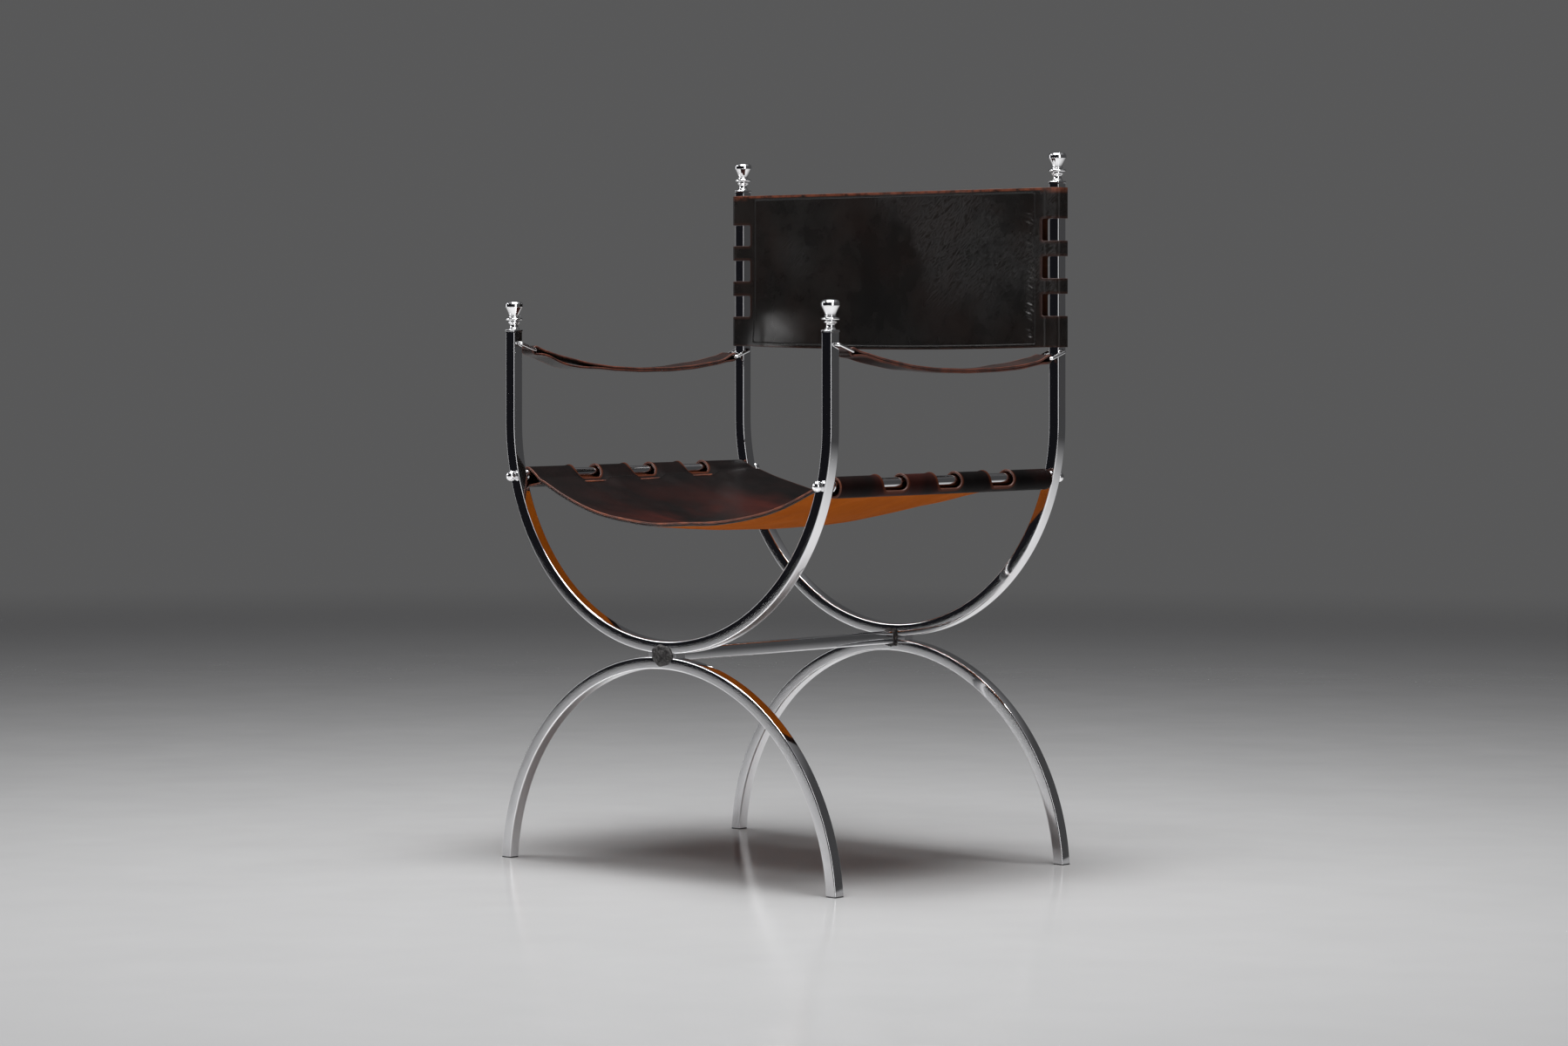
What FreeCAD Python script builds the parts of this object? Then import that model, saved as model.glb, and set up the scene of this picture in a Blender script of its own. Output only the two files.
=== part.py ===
import FreeCAD, Part
import math
import os

# Savonarola style armchair: two parallel frames of chromed square tube, each an upper U
# welded on an inverted leg arch, a leather sling seat and back, and two leather arm straps.
# Millimetres. X runs across the chair, the sitter faces -Y, Z is up, the floor is Z = 0.

# Frame tube
tube = 16.0
tube_wall = 1.5
tube_bevel = 1.2

# Frames
post_spacing = 568.0
frame_spacing = 438.0
front_post_top = 693.5
rear_post_top = 887.5
joint_height = 282.5
joint_plate_thickness = 4.0
joint_plate_length = 50.0
leg_radius = 292.0
weld_leg = 4.0
weld_bead_footprint = 8.0
weld_bead_rise = 4.5
weld_bead_count = 8
weld_patch_width = 39.0
weld_patch_height = 29.0
cut_overrun = 5.0

# Foot plugs
foot_flange = 1.5
foot_plug_depth = 12.0
plug_play = 0.15

# Post caps and turned finials
cap_thickness = 1.5
cap_spigot_depth = 8.0
finial_stud_radius = 3.0
finial_stud_play = 0.05
finial_stud_spare = 1.0
plinth_height = 3.0
plinth_radius = 10.5
flare_height = 5.8
flare_foot_radius = 7.3
neck_radius = 6.1
cup_height = 6.0
cup_radius = 8.3
disc_height = 3.2
disc_radius = 10.75
collar_height = 4.1
collar_radius = 6.6
bead_height = 1.8
bead_radius = 7.5
cone_height = 10.7
cone_foot_radius = 8.0
head_radius = 11.5
head_band_height = 4.2
head_edge = 0.5
dome_height = 4.0

# Seat rods and their fixings
rod_height = 505.0
rod_radius = 8.0
rod_wall = 1.5
tie_rod_radius = 3.0
tie_rod_play = 0.3
nut_bore_play = 0.05
washer_thickness = 3.0
washer_radius = 7.0
nut_collar_radius = 5.0
nut_collar_height = 2.5
nut_ball_radius = 6.75
nut_ball_stand = 6.2
tie_rod_reach = 9.0

# Seat leather
leather = 3.0
leather_play = 0.3
seat_end_gap = 7.0
seat_station_count = 5
seat_sag_front = 55.0
seat_sag_middle = 62.0
seat_sag_rear = 38.5
seat_loop_slack = 1.3
seat_end_tab = 78.0
seat_tab = 57.0
seat_window_depth = 19.0
seat_window_floor = 3.0
seat_window_corner = 10.0
seat_hem_width = 30.0
seat_lining_thickness = 2.0
seat_lining_inset = 1.0
ply_gap = 0.2

# Back leather
back_height = 209.0
back_below_post_top = 4.0
back_leather = 3.0
back_inner_corner = 2.0
back_end_tab = 41.0
back_tab = 20.5
back_window_depth = 18.0
back_window_corner = 4.0
back_seam_depth = 29.0
back_flap_width = 15.0
back_lining_thickness = 2.5
back_lining_inset = 3.0

# Arm rings
ring_wire = 4.2
ring_width = 27.0
ring_length = 29.6
ring_bend = 3.2
ring_play = 0.05
front_ring_below_post_top = 13.5
rear_ring_below_back = 5.5
ring_drop_degrees = 18.4

# Arm straps
strap_width = 22.0
strap_ply = 3.0
strap_loop_radius = 4.4
strap_loop_length = 20.0
strap_sag = 20.7
strap_low_shift = 22.0
strap_play = 0.3

# Places worked out from the sizes above
half_tube = tube / 2
back_top = rear_post_top - back_below_post_top
back_bottom = back_top - back_height
post_x = post_spacing / 2
frame_y = frame_spacing / 2
inner_face_y = frame_y - half_tube
outer_face_y = frame_y + half_tube
arc_centre_z = joint_height + joint_plate_thickness / 2 + half_tube + post_x
leg_centre_z = joint_height - joint_plate_thickness / 2 - half_tube - leg_radius
bore = tube - 2 * tube_wall
seat_length = 2 * (inner_face_y - seat_end_gap)
ring_hole_radius = ring_wire / 2 + ring_play
rod_x = math.sqrt(post_x ** 2 - (arc_centre_z - rod_height) ** 2)
SIDES = {"left": -1, "right": 1}
ENDS = {"front": -1, "rear": 1}
POST_TOPS = {"front": front_post_top, "rear": rear_post_top}
RING_HEIGHTS = {"front": front_post_top - front_ring_below_post_top,
                "rear": back_bottom - rear_ring_below_back}
X_AXIS = FreeCAD.Vector(1, 0, 0)
Y_AXIS = FreeCAD.Vector(0, 1, 0)
Z_AXIS = FreeCAD.Vector(0, 0, 1)


def vec(x, y, z):
    return FreeCAD.Vector(x, y, z)


def cylinder(start, end, radius):
    """A round bar from one point to the other."""
    along = end - start
    return Part.makeCylinder(radius, along.Length, start, along)


def box_between(low, high):
    size = high - low
    return Part.makeBox(size.x, size.y, size.z, low)


def bevelled_square(side, bevel, centre, right, up):
    """A square face with its corners cut off, in the plane of the two directions."""
    half = side / 2
    short = half - bevel
    outline = [(half, short), (short, half), (-short, half), (-half, short),
               (-half, -short), (-short, -half), (short, -half), (half, -short)]
    points = [centre + right * u + up * v for u, v in outline]
    return Part.Face(Part.makePolygon(points + points[:1]))


def plain_square(side, centre, right, up):
    half = side / 2
    outline = [(half, half), (-half, half), (-half, -half), (half, -half)]
    points = [centre + right * u + up * v for u, v in outline]
    return Part.Face(Part.makePolygon(points + points[:1]))


def section_face(side, bevel, centre, right, up):
    if bevel:
        return bevelled_square(side, bevel, centre, right, up)
    return plain_square(side, centre, right, up)


def arc_edge(start, middle, end):
    return Part.Arc(start, middle, end).toShape()


def line_edge(start, end):
    return Part.LineSegment(start, end).toShape()


def fused(shapes):
    joined = shapes[0].multiFuse(shapes[1:]) if len(shapes) > 1 else shapes[0]
    return joined.removeSplitter()


# Square tube frames

def bent_bar(side, bevel, radius, y, centre_z, end_z):
    """A U of square bar: a half circle about the centre and a straight on each end."""
    section = section_face(side, bevel, vec(-radius, y, centre_z), X_AXIS, Y_AXIS)
    rise = Z_AXIS * (end_z - centre_z)
    turn = -180 if end_z > centre_z else 180
    bend = section.revolve(vec(0, y, centre_z), Y_AXIS, turn)
    other = section.translated(X_AXIS * (2 * radius))
    return fused([bend, section.extrude(rise), other.extrude(rise)])


def upper_frame_body(side, bevel, y, top):
    return bent_bar(side, bevel, post_x, y, arc_centre_z, top)


def upper_frame(end):
    y = ENDS[end] * frame_y
    top = POST_TOPS[end]
    frame = upper_frame_body(tube, tube_bevel, y, top)
    frame = frame.cut(upper_frame_body(bore, 0, y, top))
    ring_z = RING_HEIGHTS[end]
    for side in SIDES.values():
        reach = half_tube + cut_overrun
        start = vec(side * post_x - reach, y, ring_z)
        frame = frame.cut(cylinder(start, start + X_AXIS * (2 * reach), ring_hole_radius))
        start = vec(side * rod_x, y - reach, rod_height)
        hole = cylinder(start, start + Y_AXIS * (2 * reach), tie_rod_radius + tie_rod_play)
        frame = frame.cut(hole)
    return frame


def leg_arch_body(side, bevel, y, low, high):
    """The part of the legs' bend that lies between two heights."""
    end_z = min(leg_centre_z, 0) - tube
    arch = bent_bar(side, bevel, leg_radius, y, leg_centre_z, end_z)
    reach = leg_radius + tube
    slab = box_between(vec(-reach, y - tube, low), vec(reach, y + tube, high))
    return arch.common(slab)


def leg_arch(end):
    y = ENDS[end] * frame_y
    top = leg_centre_z + leg_radius + tube
    outside = leg_arch_body(tube, tube_bevel, y, foot_flange, top)
    return outside.cut(leg_arch_body(bore, 0, y, foot_flange - cut_overrun, top))


def foot_plug(end, side):
    """A glide: a flange under the tube's cut end and a stem that follows the bore."""
    y = ENDS[end] * frame_y
    flange = leg_arch_body(tube, tube_bevel, y, 0, foot_flange)
    stem_top = foot_flange + foot_plug_depth
    stem = leg_arch_body(bore - 2 * plug_play, 0, y, foot_flange, stem_top)
    whole = fused([flange, stem])
    return [solid for solid in whole.Solids if solid.CenterOfMass.x * SIDES[side] > 0][0]


def joint_plate(end):
    """The packing piece between the two arcs where they are welded."""
    y = ENDS[end] * frame_y
    half = vec(joint_plate_length / 2, half_tube, half_tube)
    centre = vec(0, y, joint_height)
    block = box_between(centre - half, centre + half)
    block = block.cut(upper_frame_body(tube, 0, y, POST_TOPS[end]))
    top = leg_centre_z + leg_radius + tube
    return block.cut(leg_arch_body(tube, 0, y, foot_flange, top))


def stretcher_body(side, bevel, start_y, end_y):
    centre = vec(0, start_y, joint_height)
    section = section_face(side, bevel, centre, X_AXIS, Z_AXIS)
    return section.extrude(Y_AXIS * (end_y - start_y))


def stretcher():
    outside = stretcher_body(tube, tube_bevel, -inner_face_y, inner_face_y)
    return outside.cut(stretcher_body(bore, 0, -inner_face_y, inner_face_y))


def weld_collar(end):
    """The fillet weld round the stretcher's end."""
    face_y = ENDS[end] * inner_face_y
    tip_y = ENDS[end] * (inner_face_y - weld_leg)
    wires = []
    for y, side in ((face_y, tube + 2 * weld_leg), (tip_y, tube)):
        centre = vec(0, y, joint_height)
        wires.append(bevelled_square(side, tube_bevel, centre, X_AXIS, Z_AXIS).OuterWire)
    collar = Part.makeLoft(wires, True, True)
    return collar.cut(stretcher_body(tube, tube_bevel, -inner_face_y, inner_face_y))


def weld_patch():
    """The rough weld on the front of the front joint: overlapping beads on a flat back."""
    bead_sphere = (weld_bead_footprint ** 2 + weld_bead_rise ** 2) / (2 * weld_bead_rise)
    sink = bead_sphere - weld_bead_rise
    face_y = -outer_face_y
    places = [(0, 0)]
    orbit_x = weld_patch_width / 2 - weld_bead_footprint
    orbit_z = weld_patch_height / 2 - weld_bead_footprint
    for step in range(weld_bead_count):
        turn = 2 * math.pi * step / weld_bead_count
        places.append((orbit_x * math.cos(turn), orbit_z * math.sin(turn)))
    spheres = [Part.makeSphere(bead_sphere, vec(x, face_y + sink, joint_height + z))
               for x, z in places]
    reach = weld_patch_width
    front = box_between(vec(-reach, face_y - reach, joint_height - reach),
                        vec(reach, face_y, joint_height + reach))
    return spheres[0].multiFuse(spheres[1:]).common(front)


# Caps and finials

def post_cap(end, side):
    """A square cap that closes the post, with a spigot in its bore and a tapped hole."""
    top = POST_TOPS[end]
    centre = vec(SIDES[side] * post_x, ENDS[end] * frame_y, top)
    plate = bevelled_square(tube, tube_bevel, centre, X_AXIS, Y_AXIS)
    plate = plate.extrude(Z_AXIS * cap_thickness)
    low = centre - Z_AXIS * cap_spigot_depth
    spigot = plain_square(bore - 2 * plug_play, low, X_AXIS, Y_AXIS)
    spigot = spigot.extrude(Z_AXIS * cap_spigot_depth)
    hole_radius = finial_stud_radius + finial_stud_play
    hole = cylinder(low - Z_AXIS * cut_overrun,
                    centre + Z_AXIS * (cap_thickness + cut_overrun), hole_radius)
    return fused([plate, spigot]).cut(hole)


def finial_outline():
    """Half the turned profile, from the stud's foot to the top of the dome."""
    def point(radius, height):
        return vec(radius, 0, height)

    def bulge(edge_radius, rim_radius, low, high):
        middle = point(rim_radius, (low + high) / 2)
        return arc_edge(point(edge_radius, low), middle, point(edge_radius, high))

    stud_foot = -(cap_thickness + cap_spigot_depth - finial_stud_spare)
    plinth_top = plinth_height
    neck = plinth_top + flare_height
    cup_top = neck + cup_height
    disc_top = cup_top + disc_height
    bead_foot = disc_top + (collar_height - bead_height) / 2
    bead_top = bead_foot + bead_height
    collar_top = disc_top + collar_height
    cone_top = collar_top + cone_height
    band_top = cone_top + head_band_height
    dome_top = band_top + dome_height
    plinth_edge = plinth_radius - plinth_height / 2
    disc_edge = disc_radius - disc_height / 2
    edge_radius = head_radius - head_edge
    flare_waist = (flare_foot_radius + 3 * neck_radius) / 4
    cup_waist = (cup_radius + 2 * neck_radius) / 3
    dome_sphere = (edge_radius ** 2 + dome_height ** 2) / (2 * dome_height)
    dome_turn = math.asin(edge_radius / dome_sphere) / 2
    edges = [
        line_edge(point(0, stud_foot), point(finial_stud_radius, stud_foot)),
        line_edge(point(finial_stud_radius, stud_foot), point(finial_stud_radius, 0)),
        line_edge(point(finial_stud_radius, 0), point(plinth_edge, 0)),
        bulge(plinth_edge, plinth_radius, 0, plinth_top),
        line_edge(point(plinth_edge, plinth_top), point(flare_foot_radius, plinth_top)),
        arc_edge(point(flare_foot_radius, plinth_top),
                 point(flare_waist, (plinth_top + neck) / 2), point(neck_radius, neck)),
        arc_edge(point(neck_radius, neck), point(cup_waist, (neck + cup_top) / 2),
                 point(cup_radius, cup_top)),
        line_edge(point(cup_radius, cup_top), point(disc_edge, cup_top)),
        bulge(disc_edge, disc_radius, cup_top, disc_top),
        line_edge(point(disc_edge, disc_top), point(collar_radius, disc_top)),
        line_edge(point(collar_radius, disc_top), point(collar_radius, bead_foot)),
        bulge(collar_radius, bead_radius, bead_foot, bead_top),
        line_edge(point(collar_radius, bead_top), point(collar_radius, collar_top)),
        line_edge(point(collar_radius, collar_top), point(cone_foot_radius, collar_top)),
        line_edge(point(cone_foot_radius, collar_top), point(edge_radius, cone_top)),
        bulge(edge_radius, head_radius, cone_top, band_top),
        arc_edge(point(edge_radius, band_top),
                 point(dome_sphere * math.sin(dome_turn),
                       dome_top - dome_sphere * (1 - math.cos(dome_turn))),
                 point(0, dome_top)),
        line_edge(point(0, dome_top), point(0, stud_foot)),
    ]
    return Part.Wire(edges)


def finial(end, side):
    turned = Part.Face(finial_outline()).revolve(vec(0, 0, 0), Z_AXIS, 360)
    seat = POST_TOPS[end] + cap_thickness
    return turned.translated(vec(SIDES[side] * post_x, ENDS[end] * frame_y, seat))


# Seat rods

def seat_rod(side):
    x = SIDES[side] * rod_x
    reach = inner_face_y - washer_thickness
    start, end = vec(x, -reach, rod_height), vec(x, reach, rod_height)
    return cylinder(start, end, rod_radius).cut(cylinder(start, end, rod_radius - rod_wall))


def tie_rod(side):
    """The threaded rod that runs through the seat rod and both frames."""
    x = SIDES[side] * rod_x
    reach = outer_face_y + tie_rod_reach
    return cylinder(vec(x, -reach, rod_height), vec(x, reach, rod_height), tie_rod_radius)


def rod_washer(end, side):
    """The washer between the end of a seat rod and the frame."""
    start = vec(SIDES[side] * rod_x, ENDS[end] * inner_face_y, rod_height)
    finish = start - Y_AXIS * (ENDS[end] * washer_thickness)
    hole = cylinder(start, finish, tie_rod_radius + tie_rod_play)
    return cylinder(start, finish, washer_radius).cut(hole)


def ball_nut(end, side):
    """A domed nut: a ball on a short collar, bored for the tie rod."""
    outward = Y_AXIS * ENDS[end]
    face = vec(SIDES[side] * rod_x, ENDS[end] * outer_face_y, rod_height)
    collar = cylinder(face, face + outward * nut_ball_stand, nut_collar_radius)
    ball = Part.makeSphere(nut_ball_radius, face + outward * nut_ball_stand)
    behind = nut_ball_radius + cut_overrun
    slab_centre = face + outward * (nut_collar_height - behind)
    slab = box_between(slab_centre - vec(behind, behind, behind),
                       slab_centre + vec(behind, behind, behind))
    ball = ball.cut(slab)
    bore_end = face + outward * (tie_rod_reach + nut_bore_play)
    hole = cylinder(face, bore_end, tie_rod_radius + nut_bore_play)
    return fused([ball, collar]).cut(hole)


# Seat leather

def tangent_foot(point, centre, radius, side):
    """Where the line from a point touches a circle, in an x and z plane."""
    across = centre - point
    distance = across.Length
    bearing = math.atan2(across.z, across.x)
    spread = side * math.asin(radius / distance)
    reach = math.sqrt(distance ** 2 - radius ** 2)
    return vec(point.x + reach * math.cos(bearing + spread), point.y,
               point.z + reach * math.sin(bearing + spread))


def on_circle(centre, radius, degrees):
    turn = math.radians(degrees)
    return vec(centre.x + radius * math.cos(turn), centre.y, centre.z + radius * math.sin(turn))


def bearing_degrees(centre, point):
    return math.degrees(math.atan2(point.z - centre.z, point.x - centre.x))


def mirrored(point):
    return vec(-point.x, point.y, point.z)


class SlingSection:
    """The seat's section at one station: a sheet hung between two loops round the rods."""

    def __init__(self, y, low):
        self.y = y
        self.inner = rod_radius + leather_play + seat_loop_slack
        self.outer = self.inner + leather
        self.loop = vec(rod_x, y, rod_height - seat_loop_slack)
        middle = self.inner + leather / 2
        centre_low = low - leather / 2
        fall = centre_low - self.loop.z
        self.bend = (rod_x ** 2 + fall ** 2 - middle ** 2) / (2 * (middle - fall))
        self.centre = vec(0, y, centre_low + self.bend)
        self.upper = self.bend - leather / 2
        self.lower = self.bend + leather / 2

    def at(self, radius, x):
        """The point of a sheet surface at a given distance from the middle."""
        return vec(x, self.y, self.centre.z - math.sqrt(radius ** 2 - x ** 2))

    def sheet_arc(self, radius, x):
        low = vec(0, self.y, self.centre.z - radius)
        return arc_edge(self.at(radius, -x), low, self.at(radius, x))

    def tangent_point(self, radius):
        toward = self.centre - self.loop
        return self.loop + toward * (radius / toward.Length)

    def outline(self):
        """The closed outline of the sheet with both loops, their holes left for later."""
        top = self.tangent_point(self.outer)
        outermost = on_circle(self.loop, self.outer, 0)
        hem = self.at(self.lower, rod_x - seat_hem_width)
        under = tangent_foot(hem, self.loop, self.outer, -1)
        first = on_circle(self.loop, self.outer, bearing_degrees(self.loop, top) / 2)
        second = on_circle(self.loop, self.outer, bearing_degrees(self.loop, under) / 2)
        right = [arc_edge(top, first, outermost), arc_edge(outermost, second, under),
                 line_edge(under, hem)]
        left = [line_edge(mirrored(hem), mirrored(under)),
                arc_edge(mirrored(under), mirrored(second), mirrored(outermost)),
                arc_edge(mirrored(outermost), mirrored(first), mirrored(top))]
        bottom = arc_edge(hem, vec(0, self.y, self.centre.z - self.lower), mirrored(hem))
        return Part.Wire([self.sheet_arc(self.upper, top.x)] + right + [bottom] + left)

    def loop_hole(self, side):
        """The space inside a loop, where the rod lies."""
        top = self.tangent_point(self.inner)
        outermost = on_circle(self.loop, self.inner, 0)
        hem = self.at(self.lower, rod_x - seat_hem_width + 2 * leather)
        under = tangent_foot(hem, self.loop, self.inner, -1)
        first = on_circle(self.loop, self.inner, bearing_degrees(self.loop, top) / 2)
        second = on_circle(self.loop, self.inner, bearing_degrees(self.loop, under) / 2)
        points = [top, first, outermost, second, under, hem]
        if side < 0:
            points = [mirrored(point) for point in points]
        top, first, outermost, second, under, hem = points
        return Part.Wire([arc_edge(top, first, outermost), arc_edge(outermost, second, under),
                          line_edge(under, hem), line_edge(hem, top)])

    def lining(self):
        upper = self.lower + ply_gap
        lower = upper + seat_lining_thickness
        reach = rod_x - seat_hem_width - leather
        top_right, low_right = self.at(upper, reach), self.at(lower, reach)
        return Part.Wire([self.sheet_arc(upper, reach), line_edge(top_right, low_right),
                          arc_edge(low_right, vec(0, self.y, self.centre.z - lower),
                                   mirrored(low_right)),
                          line_edge(mirrored(low_right), mirrored(top_right))])


def sling_sections(length):
    """Sections from front to rear, their low points on a smooth curve through three sags."""
    sections = []
    for step in range(seat_station_count):
        share = 2 * step / (seat_station_count - 1) - 1
        bow = seat_sag_middle - (seat_sag_front + seat_sag_rear) / 2
        tilt = (seat_sag_front - seat_sag_rear) / 2
        low = rod_height - seat_sag_middle + tilt * share + bow * share ** 2
        sections.append(SlingSection(share * length / 2, low))
    return sections


def window_spans(length, end_tab, tab):
    """The three gaps between four tabs, as distances from the middle."""
    gap = (length - 2 * end_tab - 2 * tab) / 3
    starts = [-length / 2 + end_tab, -gap / 2, length / 2 - end_tab - gap]
    return [(start, start + gap) for start in starts]


def rounded_slot(low_u, high_u, low_v, high_v, corner, place):
    """A face with two rounded corners at its low_u end; place turns u and v into a point."""
    slant = corner * (1 - math.sqrt(0.5))
    names = {
        "far_low": place(high_u, low_v), "low_start": place(low_u + corner, low_v),
        "low_mid": place(low_u + slant, low_v + slant), "low_end": place(low_u, low_v + corner),
        "high_start": place(low_u, high_v - corner),
        "high_mid": place(low_u + slant, high_v - slant),
        "high_end": place(low_u + corner, high_v), "far_high": place(high_u, high_v),
    }
    edges = [line_edge(names["far_low"], names["low_start"]),
             arc_edge(names["low_start"], names["low_mid"], names["low_end"]),
             line_edge(names["low_end"], names["high_start"]),
             arc_edge(names["high_start"], names["high_mid"], names["high_end"]),
             line_edge(names["high_end"], names["far_high"]),
             line_edge(names["far_high"], names["far_low"])]
    return Part.Face(Part.Wire(edges))


def seat_windows(side):
    """Cutters for the gaps between tabs: deep on the top of the loop, shallow under it."""
    split_z = rod_height - seat_window_floor
    outside = rod_x + rod_radius + seat_loop_slack + leather + cut_overrun
    rise = rod_radius + seat_window_floor + leather + cut_overrun
    cutters = []
    for low_y, high_y in window_spans(seat_length, seat_end_tab, seat_tab):
        for depth, height in ((seat_window_depth, rise), (0, -rise)):
            def place(u, v):
                return vec(side * u, v, split_z)
            slot = rounded_slot(rod_x - depth, outside, low_y, high_y,
                                seat_window_corner, place)
            cutters.append(slot.extrude(Z_AXIS * height))
    return cutters


def seat_sling():
    sections = sling_sections(seat_length)
    sling = Part.makeLoft([section.outline() for section in sections], True, False)
    for side in SIDES.values():
        sling = sling.cut(Part.makeLoft([section.loop_hole(side) for section in sections],
                                        True, False))
        for cutter in seat_windows(side):
            sling = sling.cut(cutter)
    return sling


def seat_lining():
    sections = sling_sections(seat_length - 2 * seat_lining_inset)
    return Part.makeLoft([section.lining() for section in sections], True, False)


# Back leather

def back_half_outline(side):
    """The plan of one end of the back: front ply, loop round the post and sewn flap."""
    front = inner_face_y - leather_play - back_leather
    outside = post_x + half_tube + leather_play + back_leather
    rear = outer_face_y + leather_play + back_leather
    flap_face = front + 2 * back_leather
    post_inner = post_x - half_tube
    seam_x = post_x - back_seam_depth
    corner = back_inner_corner + back_leather
    slant = corner * (1 - math.sqrt(0.5))

    def place(x, y):
        return vec(side * x, y, back_bottom)

    edges = [
        line_edge(place(0, front), place(outside - corner, front)),
        arc_edge(place(outside - corner, front), place(outside - slant, front + slant),
                 place(outside, front + corner)),
        line_edge(place(outside, front + corner), place(outside, rear - corner)),
        arc_edge(place(outside, rear - corner), place(outside - slant, rear - slant),
                 place(outside - corner, rear)),
        line_edge(place(outside - corner, rear), place(post_inner, rear)),
        line_edge(place(post_inner, rear), place(seam_x, flap_face)),
        line_edge(place(seam_x, flap_face), place(seam_x - back_flap_width, flap_face)),
        line_edge(place(seam_x - back_flap_width, flap_face),
                  place(seam_x - back_flap_width, front + back_leather)),
        line_edge(place(seam_x - back_flap_width, front + back_leather),
                  place(0, front + back_leather)),
        line_edge(place(0, front + back_leather), place(0, front)),
    ]
    return Part.Face(Part.Wire(edges))


def back_loop_hole(side):
    """The space inside the loop, where the post stands."""
    front = inner_face_y - leather_play
    outside = post_x + half_tube + leather_play
    rear = outer_face_y + leather_play
    post_inner = post_x - half_tube
    seam_x = post_x - back_seam_depth
    corner = back_inner_corner
    slant = corner * (1 - math.sqrt(0.5))
    run = math.hypot(post_inner - seam_x, rear - front)
    tip_x = seam_x + back_leather * run / (rear - front)
    shoulder_x = post_inner + back_leather * (run - (post_inner - seam_x)) / (rear - front)

    def place(x, y):
        return vec(side * x, y, back_bottom)

    edges = [
        line_edge(place(tip_x, front), place(outside - corner, front)),
        arc_edge(place(outside - corner, front), place(outside - slant, front + slant),
                 place(outside, front + corner)),
        line_edge(place(outside, front + corner), place(outside, rear - corner)),
        arc_edge(place(outside, rear - corner), place(outside - slant, rear - slant),
                 place(outside - corner, rear)),
        line_edge(place(outside - corner, rear), place(shoulder_x, rear)),
        line_edge(place(shoulder_x, rear), place(tip_x, front)),
    ]
    return Part.Face(Part.Wire(edges))


def back_panel():
    rise = Z_AXIS * back_height
    panel = fused([back_half_outline(side).extrude(rise) for side in SIDES.values()])
    middle_z = (back_top + back_bottom) / 2
    front = inner_face_y - back_leather - cut_overrun
    depth = outer_face_y + back_leather + cut_overrun - front
    outside = post_x + half_tube + back_leather + cut_overrun
    for side in SIDES.values():
        panel = panel.cut(back_loop_hole(side).extrude(rise))
        for low, high in window_spans(back_height, back_end_tab, back_tab):
            def place(u, v):
                return vec(side * u, front, middle_z + v)
            slot = rounded_slot(post_x - back_window_depth, outside, low, high,
                                back_window_corner, place)
            panel = panel.cut(slot.extrude(Y_AXIS * depth))
    return panel


def back_lining():
    """The second ply behind the panel, between the two sewn flaps."""
    front = inner_face_y - leather_play
    reach = post_x - back_seam_depth - back_flap_width - leather_play
    low = vec(-reach, front, back_bottom + back_lining_inset)
    high = vec(reach, front + back_lining_thickness, back_top - back_lining_inset)
    return box_between(low, high)


# Arm rings and straps

def ring_flat():
    """The wire ring in the plane Z = 0: one bar on the X axis, the other at ring_length."""
    half_width = ring_width / 2
    radius = ring_wire / 2
    bars = [
        (vec(-half_width + ring_bend, 0, 0), vec(half_width - ring_bend, 0, 0)),
        (vec(-half_width + ring_bend, ring_length, 0), vec(half_width - ring_bend, ring_length, 0)),
        (vec(-half_width, ring_bend, 0), vec(-half_width, ring_length - ring_bend, 0)),
        (vec(half_width, ring_bend, 0), vec(half_width, ring_length - ring_bend, 0)),
    ]
    pieces = [cylinder(start, end, radius) for start, end in bars]
    for x_sign in SIDES.values():
        for far in (0, 1):
            y_sign = 2 * far - 1
            pivot = vec(x_sign * (half_width - ring_bend),
                        far * ring_length - y_sign * ring_bend, 0)
            start = pivot + Y_AXIS * (y_sign * ring_bend)
            section = Part.Face(Part.Wire(Part.makeCircle(radius, start, X_AXIS)))
            pieces.append(section.revolve(pivot, Z_AXIS * (-x_sign * y_sign), 90))
    return fused(pieces)


def ring_pivot(end, side):
    return vec(SIDES[side] * post_x, ENDS[end] * frame_y, RING_HEIGHTS[end])


def arm_ring(end, side):
    """A ring through its post, hanging towards the strap."""
    ring = ring_flat()
    if ENDS[end] > 0:
        ring = ring.rotated(vec(0, 0, 0), Z_AXIS, 180)
    ring = ring.rotated(vec(0, 0, 0), X_AXIS, ENDS[end] * ring_drop_degrees)
    return ring.translated(ring_pivot(end, side))


def crossbar(end):
    """The middle of a ring's strap bar, in the plane X = 0."""
    drop = math.radians(ring_drop_degrees)
    return vec(0, ENDS[end] * (frame_y - ring_length * math.cos(drop)),
               RING_HEIGHTS[end] - ring_length * math.sin(drop))


def circle_through(first, second, third):
    """Centre and radius of the circle through three points of the plane X = 0."""
    circle = arc_edge(first, second, third).Curve
    return circle.Center, circle.Radius


def teardrop(centre, radius, direction, length):
    """A circle drawn out to a tip, as an extruded bar across the strap."""
    lean = math.asin(radius / length)
    across = vec(0, -direction.z, direction.y)
    tip = centre + direction * length

    def foot(sign):
        return centre + direction * (radius * math.sin(lean)) \
            + across * (sign * radius * math.cos(lean))

    back = centre - direction * radius
    edges = [line_edge(tip, foot(1))]
    for start, sign, end in ((foot(1), 1, back), (back, -1, foot(-1))):
        turn = (math.pi / 2 + lean) / 2
        middle = centre - direction * (radius * math.cos(turn)) \
            + across * (sign * radius * math.sin(turn))
        edges.append(arc_edge(start, middle, end))
    edges.append(line_edge(foot(-1), tip))
    return Part.Face(Part.Wire(edges)).extrude(X_AXIS * strap_width)


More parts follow.
